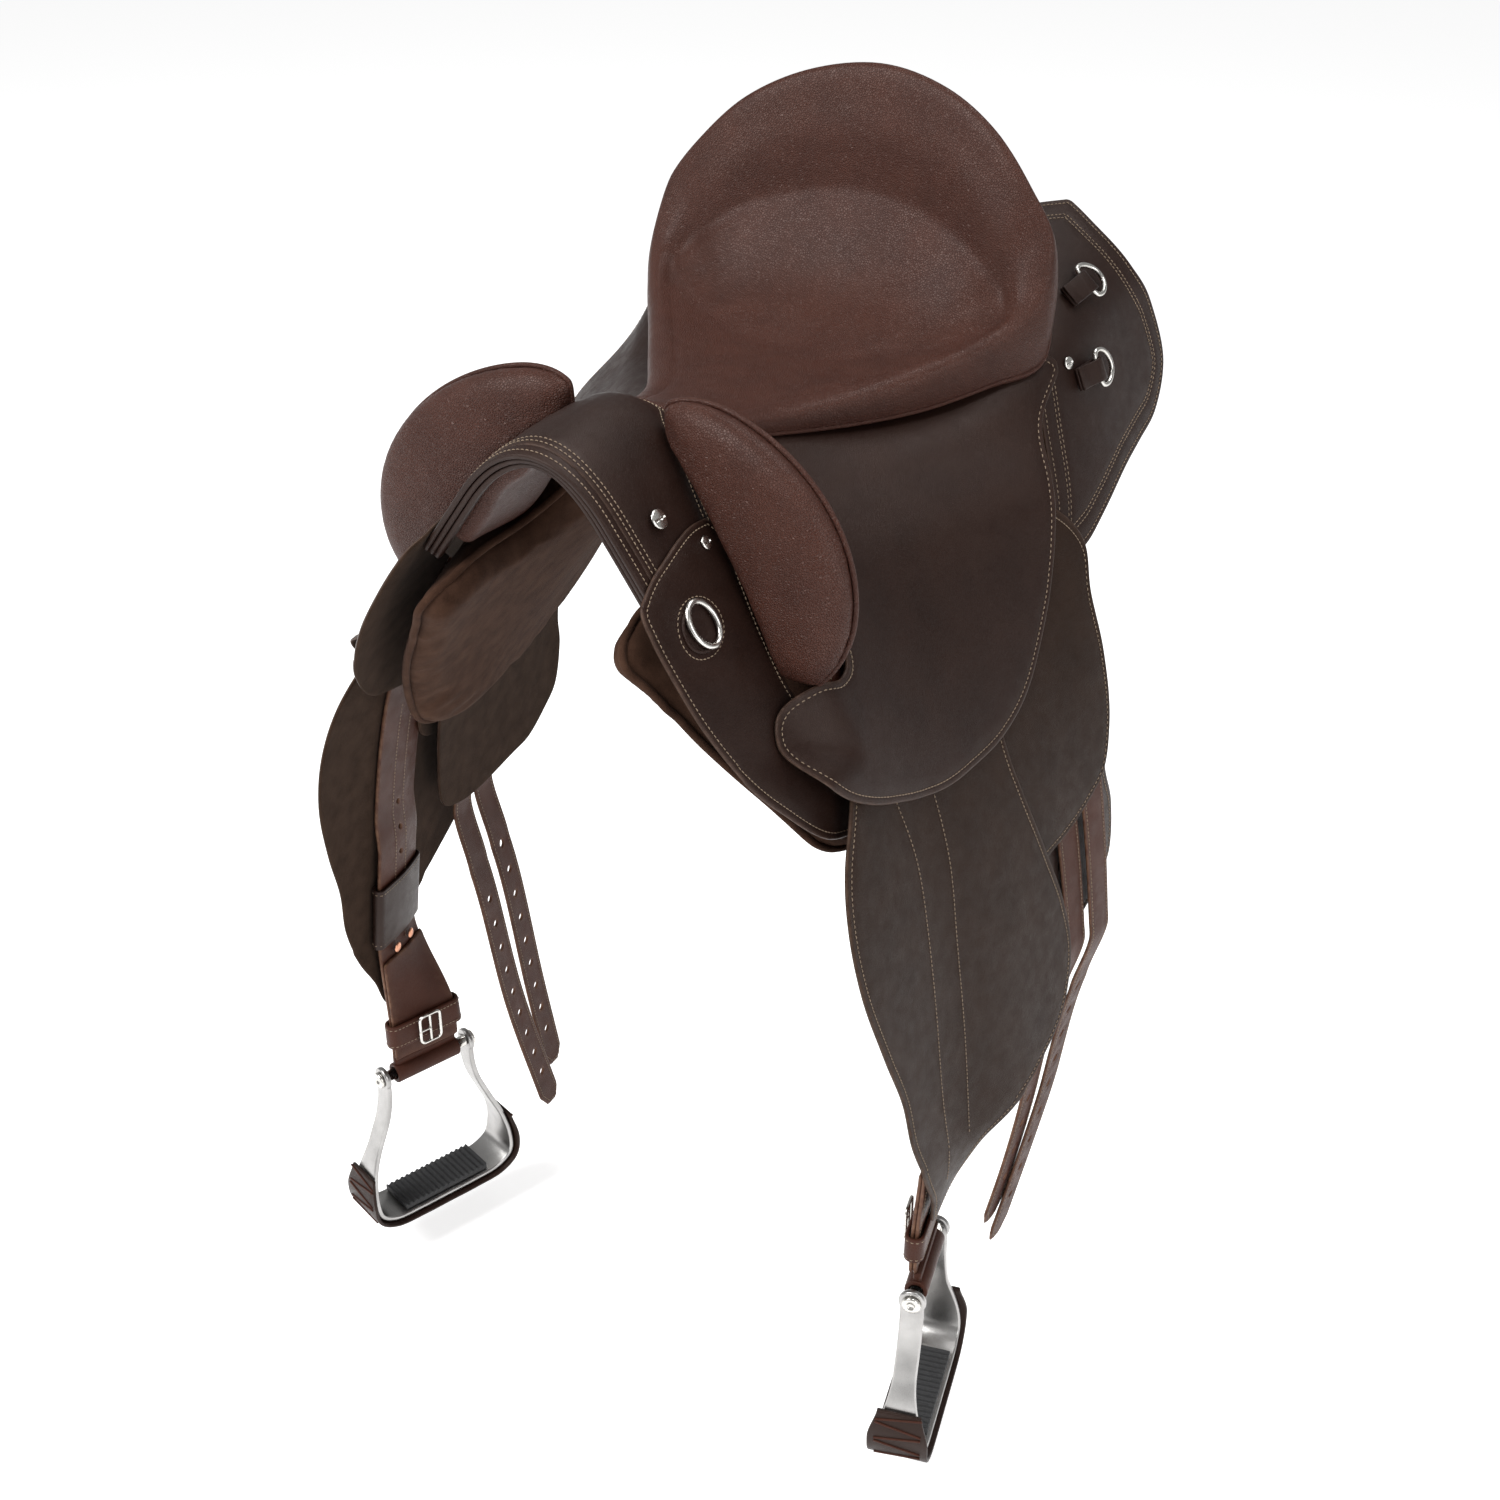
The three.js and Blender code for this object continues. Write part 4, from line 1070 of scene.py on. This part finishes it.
def strap_loop(piece, side, z_top, z_bottom, clear, wall, rows=()):
    """A flat loop of leather round the strap, with stitched rows along its edges."""
    place = hanging(side)
    z_mid, height = (z_top + z_bottom) / 2, z_top - z_bottom
    double = strap_double(z_mid)
    half_out = (STRAP["thick"] + double) / 2 + clear + wall / 2
    half_y = STRAP["half"] + clear + wall / 2
    path = rounded(2 * half_y, 2 * half_out, half_out * 0.9, 6)
    path = evenly(path, 2.0, True)
    normal = -inward(turned_to(path, True))
    path = turned_to(path, True)
    centre = strap_dip(z_mid) - double + (STRAP["thick"] + double) / 2

    def at(dz, dt, on=slice(None)):
        y = STRAP["y"] + path[on, 0] + normal[on, 0] * dt
        off = centre + path[on, 1] + normal[on, 1] * dt
        return place(y, s_at(y, np.full_like(y, z_mid + dz)), off)
    shape = rounded(height, wall, wall * 0.42, 4)
    rings = np.stack([at(dz, dt) for dz, dt in shape], 1)
    loft(piece, rings, 0, True)
    for dz in rows:
        line = at(dz, wall / 2 - 0.1)
        out = at(dz, wall / 2 + 1) - line
        picks = np.linspace(0, len(line), int(len(line) * 2 / 3.6), endpoint=False)
        lower = picks.astype(int)
        ahead = np.roll(line, -1, 0) - line
        add_stitches(piece, line[lower] + ahead[lower] * (picks - lower)[:, None],
                     ahead[lower], out[lower])


def make_strap(looks, side):
    mirror = side == "right"
    body = f"fender_{side}"
    axis, across = bolt_frame(side)
    piece = Piece(f"stirrup_strap_{side}", [looks["strap"], looks["thread"]], mirror)
    top, bottom, half = STRAP["top"] - 1, STRAP["bottom"], STRAP["half"]
    edge_z = np.linspace(top, bottom, 90)
    left = [(STRAP["y"] - half, z) for z in edge_z]
    right = [(STRAP["y"] + half, z) for z in edge_z[::-1]]
    loop = turned_to(evenly(uv_of(left + right), 3.5, True), True)
    holes = [turned_to(oval(*uv_of([(STRAP["y"], z)])[0], 2.4, 2.4, 1.2), False)
             for z in (-300, -325, -350)]
    lie = Leather(lambda y, z: strap_dip(z), STRAP["thick"], hanging(side))
    add_sheet(piece, lie, [loop] + holes, (5.0,))
    sew(piece, lie, inset(loop, 5.0), True)
    for dy in (-9.0, 9.0):
        run = [(STRAP["y"] + dy, z) for z in np.linspace(-200, -445, 30)]
        sew(piece, lie, uv_of(run), back=True)
    doubled = [(STRAP["y"] + dy, z) for dy, zs in
               ((-half + 0.5, np.linspace(-452, bottom, 26)),
                (half - 0.5, np.linspace(bottom, -452, 26))) for z in zs]
    inner = Leather(lambda y, z: strap_dip(z) - STRAP["thick"], STRAP["thick"] - 0.1,
                    hanging(side))
    second = turned_to(evenly(uv_of(doubled), 3.5, True), True)
    add_sheet(piece, inner, [second])
    flat_ring(piece, BOLT, axis, 9.4, 5.7, 2 * half - 1)
    shape = rounded(6.6, 2 * half - 3, 2.2, 4)
    loft(piece, [BOLT + UP * z + across * shape[:, :1] + axis * shape[:, 1:]
                 for z in (7.5, 12, 18)])
    for dy in (-12, 12):
        spot = np.array([STRAP["y"] + dy]), np.array([-444.0])
        flat = np.stack([spot[0], look_up(W_OF_S, S_STEP, spot[0], s_at(*spot))], 1)
        for height, way in ((0.0, 1), (-2 * STRAP["thick"], -1)):
            seat, out = lie.at(flat, height)[0], (lie.at(flat, 1) - lie.at(flat, 0))[0] * way
            lathe(piece, [(4.6, -0.2), (4.6, 0.5), (3.8, 1.1), (2.0, 1.5), (0.3, 1.6)], seat,
                  out, 2)
    piece.materials.append(looks["copper"])
    piece.done(body, "strap_leather", f"stirrup_leather_{side}")

    sleeve = Piece(f"sleeve_cover_{side}", [looks["dark"], looks["thread"]], mirror)
    strap_loop(sleeve, side, -372, -434, 1.4, 2.4, (-27, 27))
    sleeve.done(f"sleeve_{side}", "dark_leather", f"leather_sleeve_{side}")
    hobble = Piece(f"hobble_cover_{side}", [looks["strap"], looks["thread"]], mirror)
    strap_loop(hobble, side, -516, -540, 1.6, 3, (-9, 9))
    hobble.done(body, "strap_leather", f"hobble_strap_{side}")

    buckle = Piece(f"buckle_{side}", [looks["nickel"]], mirror)
    y0, z0 = np.array([STRAP["y"]]), np.array([-528.0])
    centre = hanging(side)(y0, s_at(y0, z0), np.array([1.2]))[0]
    ring = evenly(rounded(20.6, 28.6, 4, 6), 1.5, True)
    add_cord(buckle, centre + axis * ring[:, :1] + UP * ring[:, 1:], 1.5, closed=True)
    rod = np.linspace(-14.3, 14.3, 12)[:, None]
    add_cord(buckle, centre + UP * rod, 1.35)
    tongue = np.linspace(0, 11.5, 8)[:, None]
    add_cord(buckle, centre + axis * tongue - across * 1.0, 1.1)
    buckle.done(body, "nickel", f"hobble_buckle_{side}")


ARM = [(44, 4), (44, -18), (48, -40), (58, -66), (69, -94), (73, -118), (70, -136), (56, -145),
       (28, -147), (0, -147)]
BOW = ARM + [(-a, z) for a, z in ARM[-2::-1]]


def bent_bar(piece, side, points, width, inner, thick, radius, count=110):
    axis, across = bolt_frame(side)
    line = evenly(spline(points, per=16), 1, count=count)
    ahead = np.gradient(line, axis=0)
    ahead /= np.linalg.norm(ahead, axis=1, keepdims=True)
    rings = []
    for (a, z), (da, dz) in zip(line, ahead):
        shape = rounded(thick, width(z), radius, 4)
        out = inner + thick / 2 + shape[:, 0]
        rings.append(BOLT + np.outer(a - dz * out, axis) + np.outer(z + da * out, UP)
                     + np.outer(shape[:, 1], across))
    loft(piece, rings)
    return line, ahead


def make_stirrup(looks, side):
    mirror, body = side == "right", f"stirrup_{side}"
    axis, across = bolt_frame(side)
    iron = Piece(f"stirrup_bow_{side}", [looks["alloy"]], mirror)
    bent_bar(iron, side, BOW, lambda z: 19 + 23 * (1 - float(ramp(z, -136, -66))), -2.5, 5, 1.8)
    for end in (1, -1):
        flat_ring(iron, BOLT + axis * 44 * end, axis, 11, 5.5, 5)
    iron.done(body, "stirrup_alloy", f"stirrup_iron_{side}")

    bolt = Piece(f"bolt_{side}", [looks["nickel"]], mirror)
    end = 46.9
    half = [(5, 0), (5, end), (7.2, end), (7.5, end + 0.6), (7.5, end + 2.2), (6.9, end + 3),
            (3.2, end + 3), (3.0, end + 1.6), (0.3, end + 1.6)]
    lathe(bolt, [(r, -h) for r, h in half[::-1]] + half, BOLT, axis)
    bolt.done(f"fender_{side}", "nickel", f"stirrup_bolt_{side}")

    pad = Piece(f"tread_{side}", [looks["rubber"]], mirror)
    middle = BOLT + UP * (-147 + 2.5 + 4.3)
    rings = []
    for a in np.linspace(-44, 44, 177):
        rib = 0.5 + 0.5 * math.cos(a / 5.5 * 2 * math.pi)
        tall = 5.4 + 1.6 * min(1, max(0, rib * 1.8 - 0.4))
        shape = rounded(36, tall, 1.2, 3)
        rings.append(middle + axis * a + across * shape[:, :1]
                     + UP * (shape[:, 1:] + (tall - 7) / 2))
    loft(pad, rings)
    pad.done(body, "tread_rubber", f"tread_pad_{side}")

    boot = Piece(f"tread_boot_{side}", [looks["dark"], looks["strap"]], mirror)
    line, ahead = bent_bar(boot, side, BOW[4:-4], lambda z: 50 - 14 * float(ramp(z, -122, -92)),
                           3.4, 3, 1.3, 80)
    for from_end in (1, -1):
        picks = line[::from_end][2:17:3], ahead[::from_end][2:17:3]
        for k, ((a, z), (da, dz)) in enumerate(zip(*picks)):
            spot = BOLT + axis * (a - dz * 6.6) + UP * (z + da * 6.6)
            way = axis * da + UP * dz
            lean = 3.2 * (1 if k % 2 else -1)
            lace = [spot + across * t * 19 + way * lean * t for t in np.linspace(-1, 1, 14)]
            add_cord(boot, np.array(lace), 1.0, 1, sides=6)
    boot.done(body, "dark_leather", f"tread_cover_{side}")


BILLET_LINE = {
    "left": {"front": [(-662, 44), (-600, 62), (-525, 74), (-330, 72), (-100, 68), (10, 75)],
             "rear": [(-690, 55), (-600, 84), (-525, 104), (-330, 104), (-100, 102), (10, 106)]},
    "right": {"front": [(-722, 36), (-560, 2), (-400, -10), (-310, -10), (-100, 0), (10, 6)],
              "rear": [(-690, 56), (-560, 44), (-400, 34), (-330, 32), (-100, 40), (10, 46)]},
}
BILLET = {"half": 15.0, "thick": 2.7, "top": -191, "hole": 2.6, "spacing": 27}


def make_billets(looks, side):
    for name, line in BILLET_LINE[side].items():
        low = line[0][0]
        z = np.linspace(BILLET["top"], low, 80)
        wide = BILLET["half"] * (1 - 0.5 * (1 - ramp(z, low, low + 14)))
        middle = along(line, z)
        edge = np.concatenate([np.stack([middle - wide, z], 1),
                               np.stack([middle + wide, z], 1)[::-1]])
        loop = turned_to(evenly(uv_of(edge), 3.0, True), True)
        holes = []
        for k in range(9):
            spot = low + 42 + k * BILLET["spacing"]
            y, w = uv_of([(float(along(line, spot)), spot)])[0]
            holes.append(turned_to(oval(y, w, BILLET["hole"], BILLET["hole"], 1.3), False))
        piece = Piece(f"billet_{name}_strap_{side}", [looks["strap"], looks["thread"]],
                      side == "right")
        lie = Leather(LEVEL[name], BILLET["thick"], curling)
        add_sheet(piece, lie, [loop] + holes, (3.6,))
        for back in (False, True):
            sew(piece, lie, inset(loop, 3.6), True, back=back)
        piece.done(f"billet_{name}_{side}", "strap_leather", f"billet_{name}_{side}")


# ---- rings and screws ----
def frame_at(y, z, off):
    y, z, off = (np.array([float(v)]) for v in (y, z, off))
    s = s_at(y, z)
    point = surface(y, s, off)[0]
    out = surface(y, s, off + 1)[0] - point
    down = surface(y, s + 0.02, off)[0] - point
    down /= np.linalg.norm(down)
    return point, out, down, np.cross(out, down)


DEE = {"half": 14, "reach": 19, "tube": 2, "lift": 9.2}
DEE_CURVE = [(1, 0), (.93, .42), (.7, .8), (.38, 1), (.1, .94), (0, .7), (0, 0), (0, -.7),
             (.1, -.94), (.38, -1), (.7, -.8), (.93, -.42)]
DEES = {"upper": (262, 107), "lower": (230, 54)}
RING = {"y": -220, "z": 2, "wide": 12, "long": 16, "tube": 2.2, "lift": 10}
SCREWS = {"pommel": (-206, 62, 7.2, 7, 0), "jockey": (-182, -88, 11.2, 8, 1),
          "leaf": (-178, 38, 8.1, 5, 0), "seat": (204, 66, 4, 5, 0)}


def make_dees(looks, side):
    mirror = side == "right"
    for name, (y, z) in DEES.items():
        point, out, down, back = frame_at(y, z, DEE["lift"])
        bow = evenly(spline([(DEE["reach"] * x, DEE["half"] * v) for x, v in DEE_CURVE], True),
                     1.5, True)
        axis = np.cross(back, out)
        piece = Piece(f"saddle_dee_{name}_{side}", [looks["nickel"]], mirror)
        add_cord(piece, point + np.outer(bow[:, 0], back) - np.outer(bow[:, 1], axis),
                    DEE["tube"], closed=True, sides=12)
        piece.done(f"dee_{name}_{side}", "nickel", f"dee_{name}_{side}")
        tab = Piece(f"chape_{name}_{side}", [looks["dark"], looks["thread"]], mirror)
        turns = np.linspace(-math.pi / 2, math.pi / 2, 14)
        path = ([(x, -3.95) for x in (-24, -18, -12, -6)]
                + [(3.95 * math.cos(a), 3.95 * math.sin(a)) for a in turns]
                + [(-5, 3.6), (-10, 1.6), (-16, -0.6), (-24, -1.3)])
        path = evenly(spline(path, per=4), 1.0)
        ahead = np.gradient(path, axis=0)
        ahead /= np.linalg.norm(ahead, axis=1, keepdims=True)
        rings = []
        for (x, h), (dx, dh) in zip(path, ahead):
            shape = rounded(2.5, 18, 1.0, 4)
            rings.append(point + np.outer(x - dh * shape[:, 0], back)
                         + np.outer(h + dx * shape[:, 0], out) + np.outer(shape[:, 1], axis))
        loft(tab, rings)
        spots = [(x, a) for x in (-21, -17.4, -13.8, -10.2) for a in (-6, 6)]
        centres = np.array([point + back * x + out * (1.55 - 0.28 * (-x - 10))
                            + axis * a for x, a in spots])
        add_stitches(tab, centres, np.repeat([back], len(spots), 0),
                     np.repeat([out], len(spots), 0))
        tab.done("saddle", "dark_leather", f"dee_chape_{name}_{side}")


def make_ring(looks, side):
    point, out, down, back = frame_at(RING["y"], RING["z"], RING["lift"])
    a = np.arange(60)[:, None] * 2 * math.pi / 60
    ring = Piece(f"ring_{side}", [looks["nickel"]], side == "right")
    add_cord(ring, point + RING["long"] * np.cos(a) * down + RING["wide"] * np.sin(a) * back,
                RING["tube"], closed=True, sides=12)
    ring.done(f"breast_ring_{side}", "nickel", f"breast_ring_{side}")


def make_screws(looks, side):
    """Round-headed screws with a slot, or a cross where the last value says so."""
    for name, (y, z, off, radius, cross) in SCREWS.items():
        point, out, down, back = frame_at(y, z, off)
        a = np.arange(64) * 2 * math.pi / 64
        rings = []
        for part, height in [(0.3, 0), (0.97, 0), (1, 0.2), (1, 0.7), (0.96, 1.05)] + [
                (r, 1.15 + 1.15 * (1 - r * r)) for r in np.linspace(0.9, 0.04, 14)]:
            x, v = part * radius * np.cos(a), part * radius * np.sin(a)
            slot = (np.abs(v) < 0.75) & (np.abs(x) < radius * 0.75)
            if cross:
                slot = (slot | (np.abs(x) < 0.75)) & (np.hypot(x, v) < radius * 0.6)
            h = np.where(slot & (height > 1.1), 0.55, height)
            rings.append(point + np.outer(x, back) + np.outer(v, down) + np.outer(h, out))
        piece = Piece(f"screw_{name}_{side}", [looks["nickel"]], side == "right")
        loft(piece, rings)
        piece.done("saddle", "nickel", f"{name}_screw_{side}")


def main():
    looks = make_looks()
    for node, look in (("tree", "wood"), ("head_plate", "steel")):
        mesh = bpy.data.objects[node].data
        mesh.materials.clear()
        mesh.materials.append(looks[look])
    make_seat(looks)
    make_pommel(looks)
    for side in SIDES:
        make_panel(looks, side)
        make_knee(looks, side)
        make_flaps(looks, side)
        make_strap(looks, side)
        make_stirrup(looks, side)
        make_billets(looks, side)
        make_dees(looks, side)
        make_ring(looks, side)
        make_screws(looks, side)
    add_camera()
    add_stage()


main()
